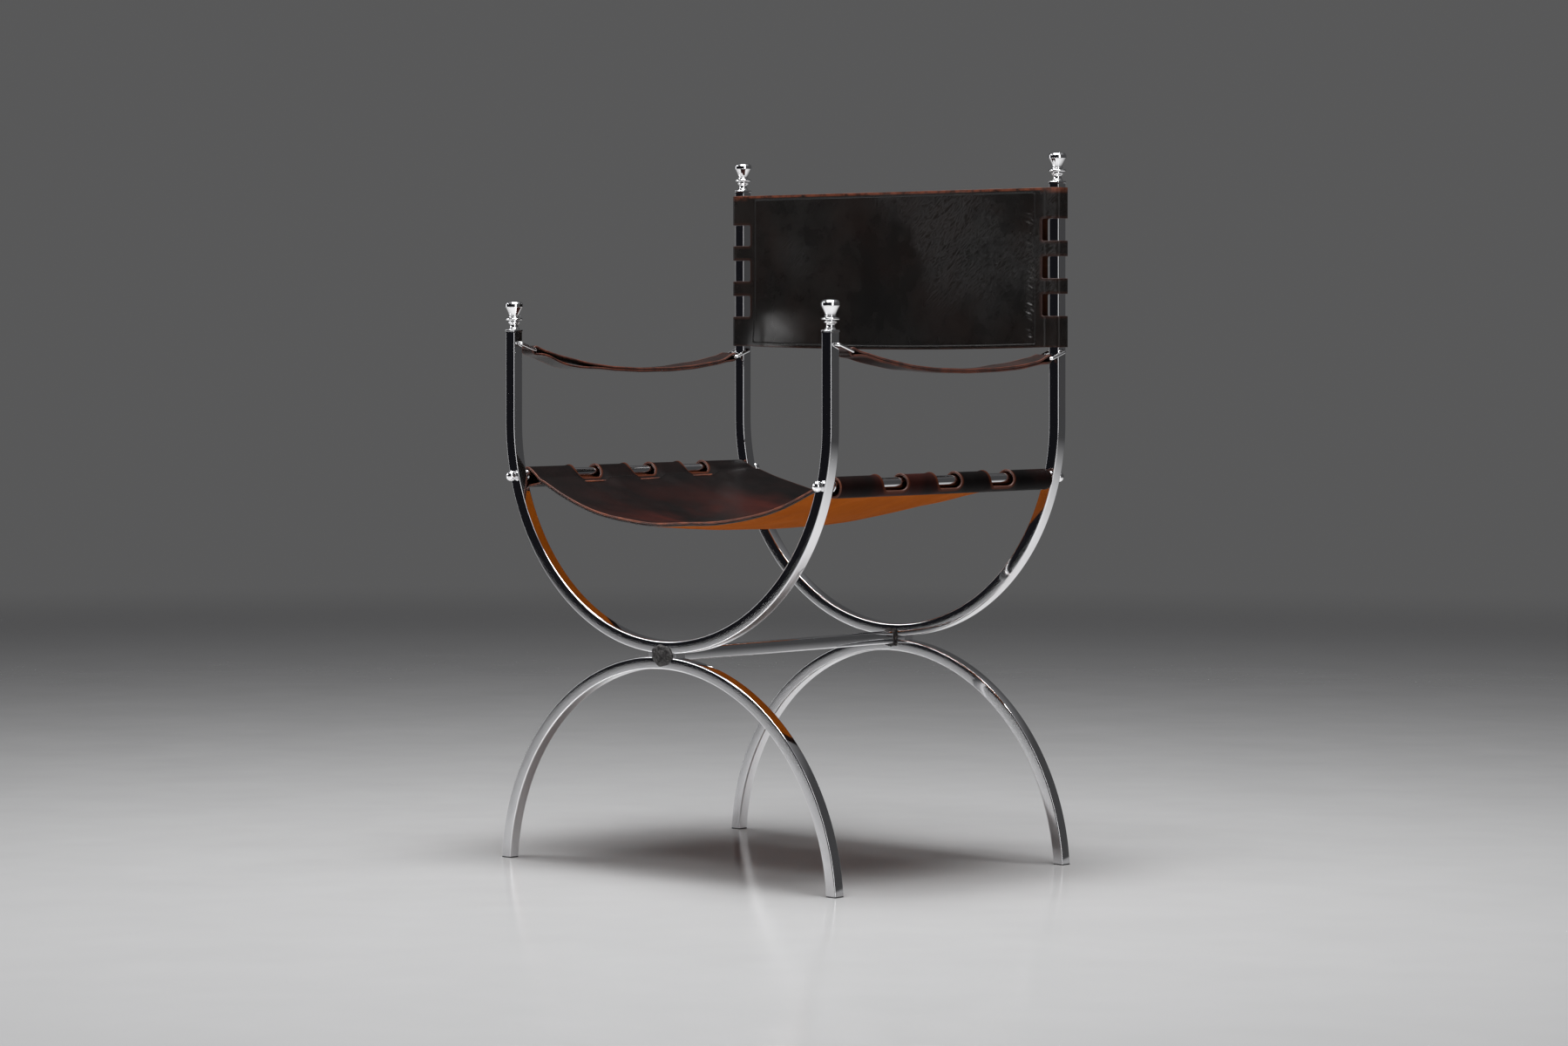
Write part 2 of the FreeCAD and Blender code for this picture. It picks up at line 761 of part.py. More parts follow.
def arm_strap(side):
    """A doubled leather strap with a loop at each end round its ring."""
    bars = {end: crossbar(end) for end in ENDS}
    chord_z = (bars["front"].z + bars["rear"].z) / 2
    low = vec(0, strap_low_shift, chord_z - strap_sag)
    centre, radius = circle_through(bars["front"], low, bars["rear"])
    inset = strap_loop_radius - ring_wire / 2 - strap_play
    half = strap_ply
    tips, holes, band_ends = [], [], []
    for end in ENDS:
        out = bars[end] - centre
        along = vec(0, out.z, -out.y) * (ENDS[end] / out.Length)
        loop = bars[end] + along * inset
        band_ends.append(loop)
        outer = strap_loop_radius + strap_ply
        outer_length = strap_loop_length * outer / strap_loop_radius
        tips.append(teardrop(loop, outer, along, outer_length))
        holes.append(teardrop(loop, strap_loop_radius, along, strap_loop_length))

    def rim(point, offset):
        out = point - centre
        return centre + out * ((radius + offset) / out.Length)

    front, rear = band_ends
    edges = [arc_edge(rim(front, half), rim(low, half), rim(rear, half)),
             line_edge(rim(rear, half), rim(rear, -half)),
             arc_edge(rim(rear, -half), rim(low, -half), rim(front, -half)),
             line_edge(rim(front, -half), rim(front, half))]
    band = Part.Face(Part.Wire(edges)).extrude(X_AXIS * strap_width)
    strap = band.multiFuse(tips)
    for hole in holes:
        strap = strap.cut(hole)
    return strap.translated(vec(SIDES[side] * post_x - strap_width / 2, 0, 0))


def all_parts():
    """Every node's name and shape."""
    parts = {}
    for end in ENDS:
        parts[end + "_upper_frame"] = upper_frame(end)
        parts[end + "_leg_arch"] = leg_arch(end)
        parts[end + "_joint_plate"] = joint_plate(end)
        parts[end + "_weld_collar"] = weld_collar(end)
        for side in SIDES:
            place = end + "_" + side
            parts["foot_plug_" + place] = foot_plug(end, side)
            parts["post_cap_" + place] = post_cap(end, side)
            parts["finial_" + place] = finial(end, side)
            parts["rod_washer_" + place] = rod_washer(end, side)
            parts["ball_nut_" + place] = ball_nut(end, side)
            parts["arm_ring_" + place] = arm_ring(end, side)
    parts["front_weld_patch"] = weld_patch()
    parts["stretcher"] = stretcher()
    for side in SIDES:
        parts["seat_rod_" + side] = seat_rod(side)
        parts["tie_rod_" + side] = tie_rod(side)
        parts["arm_strap_" + side] = arm_strap(side)
    parts["seat_sling"] = seat_sling()
    parts["seat_lining"] = seat_lining()
    parts["back_panel"] = back_panel()
    parts["back_lining"] = back_lining()
    return parts


os.makedirs("parts", exist_ok=True)
for name, shape in all_parts().items():
    shape.exportStep("parts/" + name + ".step")
    print(name, len(shape.Solids), "solid(s), valid", shape.isValid(),
          "volume", round(shape.Volume))
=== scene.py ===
from math import acos, asin, atan, atan2, cos, hypot, pi, radians, sin, sqrt, tan

import bpy
import numpy as np
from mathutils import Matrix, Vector
from mathutils.geometry import delaunay_2d_cdt

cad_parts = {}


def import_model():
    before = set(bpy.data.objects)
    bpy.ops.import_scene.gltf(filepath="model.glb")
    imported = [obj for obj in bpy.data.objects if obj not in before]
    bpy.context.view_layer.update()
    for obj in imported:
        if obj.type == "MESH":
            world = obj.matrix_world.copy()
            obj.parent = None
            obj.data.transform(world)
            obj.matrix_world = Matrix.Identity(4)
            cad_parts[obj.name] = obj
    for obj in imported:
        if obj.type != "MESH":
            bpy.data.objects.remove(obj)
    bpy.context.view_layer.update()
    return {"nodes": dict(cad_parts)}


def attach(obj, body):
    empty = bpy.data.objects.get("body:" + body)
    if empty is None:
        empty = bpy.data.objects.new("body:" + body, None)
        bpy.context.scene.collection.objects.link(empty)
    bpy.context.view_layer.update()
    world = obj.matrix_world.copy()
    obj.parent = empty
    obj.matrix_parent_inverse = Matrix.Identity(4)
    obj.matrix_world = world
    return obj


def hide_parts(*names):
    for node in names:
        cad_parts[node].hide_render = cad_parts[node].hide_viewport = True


# Looks of the chair. Sizes are in millimetres and become metres when a mesh is made.
# X runs across the chair, the sitter faces -Y, Z is up, the floor is Z = 0.
# Sizes inside materials are in metres.

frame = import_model()
nodes = frame["nodes"]
scene = bpy.context.scene

MM = 0.001
SIDES = {"left": -1, "right": 1}
ENDS = {"front": -1, "rear": 1}
PLACES = [(end, side) for end in ENDS for side in SIDES]
TUBE_SIDE, TUBE_CORNER = 16.0, 1.6
POST_X, FRAME_Y = 284.0, 219.0
POST_TOPS = {"front": 693.5, "rear": 887.5}
ARC_Z, LEG_Z, LEG_RADIUS, LEG_CUT_Z = 576.5, -19.5, 292.0, 1.5
JOINT_Z, STRETCHER_END = 282.5, 211.0
ROD_X, ROD_Z, ROD_END = 274.85, 505.0, 208.0
RING_Z = {"front": 680.0, "rear": 669.0}
RING_HALF, RING_LENGTH, RING_BEND, RING_WIRE = 13.5, 29.6, 3.2, 2.1
RING_DROP = radians(18.4)


def placed(name, data):
    """A new object in the scene."""
    made = bpy.data.objects.new(name, data)
    scene.collection.objects.link(made)
    return made


# Camera

camera_data = bpy.data.cameras.new("camera")
camera_data.lens = 97.84
camera_data.sensor_width = 36.0
camera_data.shift_y = -0.1257
camera_data.clip_end = 60
camera = scene.camera = placed("camera", camera_data)
camera.location = (3.8319, -4.0836, 0.7026)
camera.rotation_euler = (radians(90), 0, radians(43.178))


# Shader helpers

class Value:
    """An output in a node tree that sums and products can be written with."""

    def __init__(self, socket):
        self.socket, self.tree = socket, socket.id_data

    def __abs__(self):
        return maths("ABSOLUTE", self)

    def __add__(self, other):
        return maths("ADD", self, other)

    def __sub__(self, other):
        return maths("SUBTRACT", self, other)

    def __mul__(self, other):
        return maths("MULTIPLY", self, other)

    __radd__, __rmul__ = __add__, __mul__


def add(tree, kind, inputs=(), output=0, **settings):
    """A new node's output. Inputs go by name or number, and a Value in them is linked."""
    node = tree.nodes.new("ShaderNode" + kind)
    for key, value in settings.items():
        setattr(node, key, value)
    for key, value in dict(inputs).items():
        socket = node.inputs[key]
        if isinstance(value, Value):
            tree.links.new(value.socket, socket)
        else:
            socket.default_value = (*value, 1) if socket.type == "RGBA" else value
    return None if output is None else Value(node.outputs[output])


def maths(operation, first, second=0.0):
    return add(first.tree, "Math", {0: first, 1: second}, operation=operation)


def span(value, low, high, to_low=0.0, to_high=1.0):
    """A smooth step from low to high."""
    names = ("Value", "From Min", "From Max", "To Min", "To Max")
    return add(value.tree, "MapRange", zip(names, (value, low, high, to_low, to_high)),
               interpolation_type="SMOOTHSTEP")


def mix(factor, first, second):
    return add(factor.tree, "Mix", {0: factor, 6: first, 7: second}, 2, data_type="RGBA")


def coords(tree, kind="Object"):
    return add(tree, "TexCoord", (), kind)


def attribute(tree, name):
    return add(tree, "Attribute", (), "Fac", attribute_name=name)


def split(vector):
    whole = add(vector.tree, "SeparateXYZ", {0: vector})
    return [Value(part) for part in whole.socket.node.outputs]


def mapped(vector, scale=(1, 1, 1), turn=0, shift=(0, 0, 0)):
    return add(vector.tree, "Mapping", {"Vector": vector, "Scale": scale, "Location": shift,
                                        "Rotation": (0, 0, radians(turn))})


def noise(vector, scale, detail, roughness, distortion=0.0):
    return add(vector.tree, "TexNoise", {"Vector": vector, "Scale": scale, "Detail": detail,
                                         "Roughness": roughness, "Distortion": distortion}, "Fac")


def cells(vector, scale):
    return add(vector.tree, "TexVoronoi", {"Vector": vector, "Scale": scale}, "Distance")


def bump(height, distance, strength=1.0, under=None):
    below = {} if under is None else {"Normal": under}
    return add(height.tree, "Bump",
               {"Height": height, "Distance": distance, "Strength": strength, **below})


def principled(tree, colour, roughness, normal, metallic=0.0, gloss=0.5):
    """A surface. Its gloss is a plain number, because a linked one isn't exported."""
    return add(tree, "BsdfPrincipled", {
        "Base Color": colour, "Roughness": roughness, "Normal": normal, "Metallic": metallic,
        "Specular IOR Level": gloss})


def cleared(owner):
    owner.use_nodes = True
    owner.node_tree.nodes.clear()
    return owner.node_tree


def material(name, recipe, *values):
    """A new material with the surface that a recipe makes in its tree."""
    made = bpy.data.materials.new(name)
    tree = cleared(made)
    add(tree, "OutputMaterial", {"Surface": recipe(tree, *values)}, None)
    return made


def scaled(colour, share):
    return tuple(share * part for part in colour)


# Material recipes

def chrome(tree, tone, pitting, roughness):
    """Plated steel: faint haze, small dull pits and rust freckles."""
    at = coords(tree)
    haze = span(noise(at, 9, 5, 0.6), 0.35, 0.75)
    pit_zone = span(noise(at, 16, 3, 0.6), 0.64, 0.80)
    pit = span(cells(at, 520), 0.17, 0.09) * pit_zone * pitting
    rough = roughness + 0.035 * haze + 0.02 * noise(at, 240, 3, 0.6) + 0.25 * pit
    colour = mix(pit, mix(haze, tone, scaled(tone, 0.93)), (0.10, 0.085, 0.07))
    node = {"Base Color": colour, "Roughness": rough, "Metallic": 1.0}
    return add(tree, "BsdfPrincipled", node)


def weld(tree):
    """Dark burnt metal with grey scale on its high spots."""
    at = coords(tree)
    lumps = noise(at, 160, 5, 0.65)
    base = mix(span(lumps, 0.35, 0.7), (0.008, 0.007, 0.007), (0.075, 0.07, 0.07))
    colour = mix(span(noise(at, 420, 4, 0.6), 0.5, 0.7), base, (0.15, 0.145, 0.14))
    skin = bump(noise(at, 900, 3, 0.6), 0.0004, 0.6, bump(lumps, 0.0030))
    return principled(tree, colour, 0.3 + 0.35 * lumps, skin, 0.6)


def scuffed_plastic(tree):
    at = coords(tree)
    scuff = span(noise(at, 300, 4, 0.6), 0.45, 0.7)
    return principled(tree, mix(scuff, (0.02, 0.02, 0.021), (0.06, 0.058, 0.055)),
                      0.5 + 0.25 * scuff, bump(noise(at, 1200, 2, 0.5), 0.0001, 0.4))


def leather(tree, dark, light, warm, warm_amount, seed, roughness, gloss, wear, edge_wear,
            cut_wear, crease, warm_zone=None, wear_zone=None, crease_zone=None):
    """Grain side of a hide. Flat coordinates are in metres of leather."""
    flat = mapped(coords(tree, "UV"), shift=(seed, 2 * seed, 0))
    edge, cut, seam = (attribute(tree, key) for key in ("edge", "cut", "seam"))
    broad = noise(flat, 7, 5, 0.6, 0.4)
    mottle = noise(flat, 38, 5, 0.65, 0.3)
    base = mix(span(0.55 * mottle + 0.6 * broad, 0.38, 0.78), dark, light)
    patches = span(noise(flat, 8, 3, 0.6, 0.2), 0.36, 0.70) * warm_amount
    if warm_zone is not None:
        patches = patches * warm_zone(tree)
    base = mix(patches, base, warm)
    dots = span(noise(flat, 420, 3, 0.6), 0.62, 0.74) * span(noise(flat, 23, 3, 0.6), 0.45, 0.65)
    base = mix(0.5 * dots, base, scaled(warm, 1.8))
    ragged = span(noise(flat, 60, 4, 0.7), 0.3, 0.62)
    worn = span(edge, 0.0026, 0.0004) * edge_wear * ragged
    if wear_zone is not None:
        worn = maths("MAXIMUM", worn, wear_zone(tree) * ragged)
    base = mix(worn, base, wear)
    base = mix(span(cut, 0.0040, 0.0012) * cut_wear, base, wear)
    # The seam's groove is sunk by bump and made rougher, and its colour is darkened as painted
    # shade in the recess.
    groove_and_shade = span(seam, 0.0015, 0.0004)
    base = mix(0.9 * groove_and_shade, base, scaled(dark, 0.3))

    turned = mapped(mapped(flat, turn=-40), (1, 4.5, 1))
    lines = span(abs(noise(turned, 75, 4, 0.6, 0.6) - 0.5), 0.0, 0.07, 1.0, 0.0)
    zone = span(noise(flat, 7, 2, 0.5), 0.28, 0.80)
    if crease_zone is not None:
        zone = zone * crease_zone(tree)
    pebbles = cells(mapped(flat, (1, 1.25, 1)), 820) + 0.35 * noise(flat, 820 * 3.1, 3, 0.6)
    streak = noise(mapped(flat, (3.2, 1, 1)), 24, 2, 0.5)
    normal = bump(pebbles, 0.0001, 0.3)
    for height, depth, strength in ((lines * zone, -0.0003, crease), (streak, 0.0008, 0.3),
                                    (noise(flat, 22, 1, 0.5), 0.0012, 0.15),
                                    (groove_and_shade, -0.0008, 0.6)):
        normal = bump(height, depth, strength, normal)
    rough = roughness + 0.04 * broad + 0.08 * mottle + 0.35 * groove_and_shade
    return principled(tree, base, rough, normal, gloss=gloss)


def cut_edge(tree, dark, light, seed, windows=None, bright_from=None):
    """The cut edge of a hide, burnished, its windows in their own tone, rubbed bright high up."""
    at = mapped(coords(tree), shift=(seed, 0, 0))
    worn = span(noise(at, 55, 4, 0.65), 0.36, 0.66)
    if bright_from is not None:
        worn = worn * span(split(coords(tree))[2], bright_from, bright_from + 0.08, 0.25)
    fibre = noise(at, 700, 3, 0.7)
    base = mix(worn, dark, light)
    if windows is not None:
        base = mix(span(attribute(tree, "cut"), 0.003, 0.001), base, windows)
    return principled(tree, mix(0.35 * fibre, base, dark), 0.38 + 0.25 * fibre,
                      bump(fibre, 0.0005, 0.6))


def suede(tree, dark, light, seed):
    """The flesh side of a hide: soft nap with rubbed streaks."""
    flat = mapped(coords(tree, "UV"), shift=(seed, seed, 0))
    broad = noise(flat, 14, 5, 0.65, 0.5)
    streak = noise(mapped(flat, (1, 7, 1)), 60, 4, 0.65)
    nap = noise(flat, 1100, 3, 0.7)
    base = mix(span(0.4 * streak + 0.7 * broad, 0.35, 0.8), dark, light)
    return principled(tree, mix(0.3 * nap, base, dark), 0.88 + 0.1 * nap,
                      bump(broad, 0.002, 0.3, bump(nap, 0.0003, 0.7)), gloss=0.03)


def twisted_thread(tree, tone):
    twist = noise(coords(tree), 1500, 2, 0.5)
    return principled(tree, mix(twist, tone, scaled(tone, 1.8)), 0.5 + 0.2 * twist,
                      bump(twist, 0.0002, 0.8), gloss=0.15)


def back_top_wear(tree):
    """Rubbed through along the back's top edge, lower down where it turns over the posts."""
    x, _, z = split(coords(tree))
    corner = span(abs(x), 0.262, 0.272) * span(z, 0.8745, 0.8815, 0.0, 0.85)
    return maths("MAXIMUM", corner, span(z, 0.8790, 0.8812))


def back_creases(tree):
    x, _, z = split(coords(tree))
    return span(x, -0.08, 0.12, 0.25) * span(z, 0.72, 0.79, 0.3)


def seat_redness(tree):
    """The seat is rubbed reddest in its middle and towards its right side."""
    x, y, _ = split(coords(tree))
    return span(x, -0.235, -0.06, 0.12) * span(abs(y), 0.20, 0.10, 0.35)


def floor_painted_light(tree):
    """Pale gloss paint that fades out far away, painted darker away from a spot near the chair as
    painted shade of the lamp's falloff. Mirrors see a painted reflection on it: paler further out,
    and black far behind.
    """
    at = coords(tree)
    # Painted shade: the floor's colour darkens with distance from a spot just in front of the
    # chair, standing in for the lamp's falloff.
    x, y, _ = split(mapped(at, shift=(-0.05, 0.55, 0)))
    away = maths("SQRT", x * x + y * y)
    near = mix(span(away, 0.8, 3.6), (0.68, 0.68, 0.685), (0.49, 0.49, 0.494))
    near = mix(span(away, 2.6, 5.6), near, (0.34, 0.34, 0.343))
    # Painted reflection: glossy rays see the floor paler from about 2.6 m out towards -X -Y, and
    # black from about 4.7 m out.
    x, y, _ = split(at)
    behind = -0.68 * x - 0.73 * y
    painted_reflection = mix(span(behind, 1.6, 2.6), near, (0.80, 0.80, 0.806))
    painted_reflection = mix(span(behind, 3.7, 4.7), painted_reflection, (0.02, 0.02, 0.022))
    colour = mix(add(tree, "LightPath", (), "Is Glossy Ray"), near, painted_reflection)
    paint = principled(tree, colour, 0.11 + 0.06 * noise(at, 5, 4, 0.6),
                       bump(noise(at, 3.5, 2, 0.5), 0.02, 0.05))
    return add(tree, "MixShader", {0: span(away, 4.6, 6.5), 1: paint,
                                   2: add(tree, "BsdfTransparent")})


CHROME = material("chrome_plate", chrome, (0.76, 0.76, 0.77), 0.3, 0.03)
BRIGHT_CHROME = material("chrome_turned", chrome, (0.88, 0.88, 0.885), 0.1, 0.012)
WELD = material("weld_metal", weld)
PLUG = material("plug_plastic", scuffed_plastic)
BACK_HIDE = [
    material("back_hide", leather, (0.0056, 0.0052, 0.0049), (0.0140, 0.0127, 0.0117),
             (0.026, 0.014, 0.011), 0.3, 0.0, 0.19, 0.26, (0.22, 0.064, 0.034), 0.12, 0.08, 0.9,
             None, back_top_wear, back_creases),
    material("back_cut_edge", cut_edge, (0.014, 0.006, 0.004), (0.17, 0.050, 0.026), 0.0,
             (0.042, 0.013, 0.008), 0.78),
    material("back_flesh", suede, (0.035, 0.013, 0.007), (0.085, 0.030, 0.015), 0.0)]
SEAT_HIDE = [
    material("seat_hide", leather, (0.0018, 0.0015, 0.0015), (0.0052, 0.0038, 0.0037),
             (0.044, 0.0085, 0.006), 0.95, 3.0, 0.56, 0.05, (0.085, 0.022, 0.009), 0.35, 0.75,
             0.3, seat_redness),
    material("seat_cut_edge", cut_edge, (0.055, 0.013, 0.006), (0.23, 0.060, 0.024), 1.0,
             (0.085, 0.020, 0.008)),
    material("seat_inner", suede, (0.030, 0.008, 0.004), (0.075, 0.019, 0.007), 3.0)]
SEAT_FLESH = material("seat_flesh", suede, (0.29, 0.066, 0.004), (0.43, 0.105, 0.008), 1.0)
SEAT_LINING = [
    SEAT_FLESH,
    material("lining_cut_edge", cut_edge, (0.008, 0.006, 0.007), (0.028, 0.020, 0.020), 2.0),
    SEAT_FLESH]
STRAP_HIDE = [
    material("strap_hide", leather, (0.006, 0.0045, 0.0042), (0.014, 0.0085, 0.007),
             (0.045, 0.011, 0.007), 0.5, 5.0, 0.36, 0.22, (0.16, 0.040, 0.016), 0.55, 0.0, 0.4),
    material("strap_cut_edge", cut_edge, (0.034, 0.008, 0.004), (0.125, 0.028, 0.011), 3.0),
    material("strap_flesh", suede, (0.022, 0.014, 0.011), (0.055, 0.038, 0.032), 2.0)]
THREAD = material("waxed_thread", twisted_thread, (0.007, 0.006, 0.0055))


# Mesh helpers

def unit(vectors):
    vectors = np.asarray(vectors, float)
    return vectors / np.maximum(np.linalg.norm(vectors, axis=-1, keepdims=True), 1e-12)


def turns(count):
    return np.linspace(0, 2 * pi, count, endpoint=False)


def ray(turn):
    return np.array([cos(turn), sin(turn)])


def run_along(points):
    """The distance run from the first point to each point of a line."""
    return np.concatenate([[0], np.cumsum(np.linalg.norm(np.diff(points, axis=0), axis=1))])


def evenly(points, step):
    """Points at even steps along a line, without its repeated points."""
    run = run_along(points)
    keep = np.concatenate([[True], np.diff(run) > 1e-9])
    points, run = points[keep], run[keep]
    even = np.arange(0, run[-1], step)
    return np.stack([np.interp(even, run, points[:, k]) for k in range(2)], 1)


def make_piece(name, points, faces, materials, replaced=(), slot=None, normals=None,
               body="frame", face_materials=None, floats=None, uv=None, sharp=None):
    """A mesh object in metres that rides on a body and stands for CAD nodes."""
    mesh = bpy.data.meshes.new(name)
    mesh.from_pydata((np.asarray(points, float) * MM).tolist(), [], faces)
    for each in materials:
        mesh.materials.append(each)
    if face_materials is not None:
        mesh.polygons.foreach_set("material_index", face_materials)
    mesh.polygons.foreach_set("use_smooth", [True] * len(mesh.polygons))
    for key, values in (floats or {}).items():
        layer = mesh.attributes.new(key, "FLOAT", "POINT")
        layer.data.foreach_set("value", np.asarray(values, np.float32))
    if uv is not None:
        layer = mesh.uv_layers.new(name="flat")
        loops = np.empty(len(mesh.loops), int)
        mesh.loops.foreach_get("vertex_index", loops)
        layer.data.foreach_set("uv", (np.asarray(uv)[loops] * MM).astype(np.float32).ravel())
    mesh.update()
    if sharp is not None:
        mesh.set_sharp_from_angle(angle=radians(sharp))
    if normals is not None:
        mesh.normals_split_custom_set_from_vertices(unit(normals).tolist())
    piece = placed(name, mesh)
    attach(piece, body)
    if replaced:
        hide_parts(*replaced)
    return piece


def joined(parts):
    """Several (points, faces) lists as one."""
    points, faces, count = [], [], 0
    for part_points, part_faces in parts:
        points.append(np.asarray(part_points, float))
        faces += [tuple(count + i for i in face) for face in part_faces]
        count += len(part_points)
    return np.concatenate(points), faces


def ring_faces(rings, around, closed_along=False, flip=False):
    """Quads between successive rings of the same number of points."""
    faces = []
    for ring in range(rings if closed_along else rings - 1):
        low, high = ring * around, (ring + 1) % rings * around
        for step in range(around):
            after = (step + 1) % around
            faces.append((low + step, low + after, high + after, high + step))
    return [face[::-1] for face in faces] if flip else faces


def capped(rings, around, flip=False):
    """The faces of a tube of rings with an end face on both ends."""
    caps = [tuple(range(around))[::-1], tuple(range((rings - 1) * around, rings * around))]
    return ring_faces(rings, around, flip=flip) + [cap[::-1] if flip else cap for cap in caps]


def square_profile(side, radius, steps, crown=2.5):
    """Points round a square with rounded corners, and normals that crown its faces a little."""
    half, points, normals = side / 2 - radius, [], []
    crown = radians(crown)
    for corner in range(4):
        start = corner * pi / 2
        centre = np.copysign(half, ray(start + pi / 4))
        for step in range(steps + 1):
            turn = start + step * pi / 2 / steps
            lean = start + crown + step * (pi / 2 - 2 * crown) / steps
            points.append(centre + radius * ray(turn))
            normals.append(ray(lean))
    return np.array(points), np.array(normals)


def arc(centre_r, centre_h, radius_r, radius_h, start, end, steps):
    return [(centre_r + radius_r * cos(radians(a)), centre_h + radius_h * sin(radians(a)))
            for a in np.linspace(start, end, steps)]


def lathed(profile, centre, axis, steps=56):
    """A turned solid: profile is (radius, height) from foot to top, closed on the axis."""
    axis = unit(axis)
    right = unit(np.cross(axis, (0.3, 0.2, 0.9) if abs(axis[2]) < 0.9 else (1, 0, 0)))
    front = np.cross(axis, right)
    points = []
    for radius, height in profile:
        for turn in turns(steps):
            points.append(np.asarray(centre) + axis * height
                          + radius * (cos(turn) * right + sin(turn) * front))
    faces = ring_faces(len(profile), steps)
    if profile[0][0] > 0.01:
        faces.append(tuple(reversed(range(steps))))
    if profile[-1][0] > 0.01:
        faces.append(tuple(range((len(profile) - 1) * steps, len(profile) * steps)))
    return np.array(points), faces


# Tube frames

TUBE_POINTS, TUBE_NORMALS = square_profile(TUBE_SIDE, TUBE_CORNER, 10)
AROUND = len(TUBE_POINTS)


def swept_tube(name, stations, node):
    """A tube from (point, outward, across) stations, its profile square to them."""
    points, normals = [], []
    for station in stations:
        point, outward, across = np.array(station, float)
        points.append(point + TUBE_POINTS[:, :1] * outward + TUBE_POINTS[:, 1:] * across)
        normals.append(TUBE_NORMALS[:, :1] * outward + TUBE_NORMALS[:, 1:] * across)
    make_piece(name, np.concatenate(points), capped(len(stations), AROUND), [CHROME],
               [node], "chrome", np.concatenate(normals))


def upper_frame(end):
    y, top = ENDS[end] * FRAME_Y, POST_TOPS[end]
    stations = [((-POST_X, y, z), (-1, 0, 0), (0, 1, 0)) for z in np.linspace(top, ARC_Z, 9)[:-1]]
    for turn in np.radians(np.linspace(180, 360, 361)):
        way = (cos(turn), 0, sin(turn))
        stations.append(((POST_X * way[0], y, ARC_Z + POST_X * way[2]), way, (0, 1, 0)))
    stations += [((POST_X, y, z), (1, 0, 0), (0, 1, 0)) for z in np.linspace(ARC_Z, top, 9)[1:]]
    swept_tube(end + "_upper_tube", stations, end + "_upper_frame")


def leg_arch(end):
    """Each line along the tube ends where it meets the flat cut just over the floor."""
    steps, points, normals = 361, [], []
    for step in range(steps):
        for (u, v), (nu, nv) in zip(TUBE_POINTS, TUBE_NORMALS):
            radius = LEG_RADIUS + u
            low = asin((LEG_CUT_Z - LEG_Z) / radius)
            turn = pi - low - step / (steps - 1) * (pi - 2 * low)
            way = np.array([cos(turn), 0, sin(turn)])
            points.append(np.array([0, ENDS[end] * FRAME_Y + v, LEG_Z]) + radius * way)
            normals.append(nu * way + np.array([0, nv, 0]))
    make_piece(end + "_leg_tube", points, capped(steps, AROUND, True), [CHROME],
               [end + "_leg_arch"], "chrome", normals)


for end_name in ENDS:
    upper_frame(end_name)
    leg_arch(end_name)
swept_tube("stretcher_tube", [((0, y, JOINT_Z), (1, 0, 0), (0, 0, 1))
                              for y in np.linspace(STRETCHER_END, -STRETCHER_END, 24)],
           "stretcher")


# Turned parts

# The turned outline above the post's cap: foot, waist, disc, rings, cup and head
FINIAL = [
    (0.0, 2.4), (6.9, 2.4), *arc(6.6, 3.5, 0.95, 0.95, -80, 80, 9),
    *((5.5 + 1.3 * (1 - t) ** 2.2, 4.6 + 3.8 * t) for t in np.linspace(0, 1, 8)), (5.4, 8.9),
    *((5.5 + 2.2 * t ** 1.4, 9.3 + 2.3 * t) for t in np.linspace(0, 1, 6)),
    *arc(7.4, 12.5, 0.85, 0.85, -60, 80, 8), (6.0, 13.6), (6.0, 14.5), (7.6, 14.9),
    *arc(9.9, 16.5, 1.6, 1.6, -95, 95, 13), (6.4, 18.3), (5.9, 18.5),
    *arc(6.7, 19.7, 0.95, 0.95, -85, 85, 9), (6.4, 20.9), (6.5, 21.5),
    *((6.9 + 4.4 * t ** 1.3, 21.7 + 10.2 * t) for t in np.linspace(0, 1, 10)), (11.4, 32.1),
    *arc(11.5, 32.7, 0.45, 0.5, -80, 0, 5), (11.97, 34.5), *arc(11.4, 36.4, 0.55, 0.7, 0, 80, 5),
    *((11.4 * cos(t), 37.1 + 3.9 * sin(t)) for t in np.linspace(0.05, pi / 2, 12))]


def square_plinth(centre):
    """The low square block under a finial, its top edges rounded over."""
    levels = [(16.6, 0.0), (17.2, 0.3), (17.2, 1.9), (16.9, 2.4), (16.2, 2.75), (15.2, 2.85)]
    points = [(centre[0] + x, centre[1] + y, centre[2] + height)
              for side, height in levels for x, y in square_profile(side, 1.5, 4)[0]]
    return np.array(points), capped(len(levels), len(points) // len(levels))


CAP_THICK, NUT_Y = 1.5, 227.0
BALL_NUT = [(0.0, 0.02), (4.6, 0.02), (5.0, 0.4), (5.0, 1.9)] + arc(0, 6.2, 6.75, 6.75, -36, 90, 22)
WASHER = [(3.3, 0.0), (6.6, 0.0), (7.0, 0.4), (7.0, 2.6), (6.6, 3.0), (3.3, 3.0)]
SEAT_ROD = [(6.6, 0.0), (7.5, 0.0), (8.0, 0.5), *((8.0, h) for h in np.linspace(10, 406, 23)),
            (8.0, 415.5), (7.5, 416.0), (6.6, 416.0)]

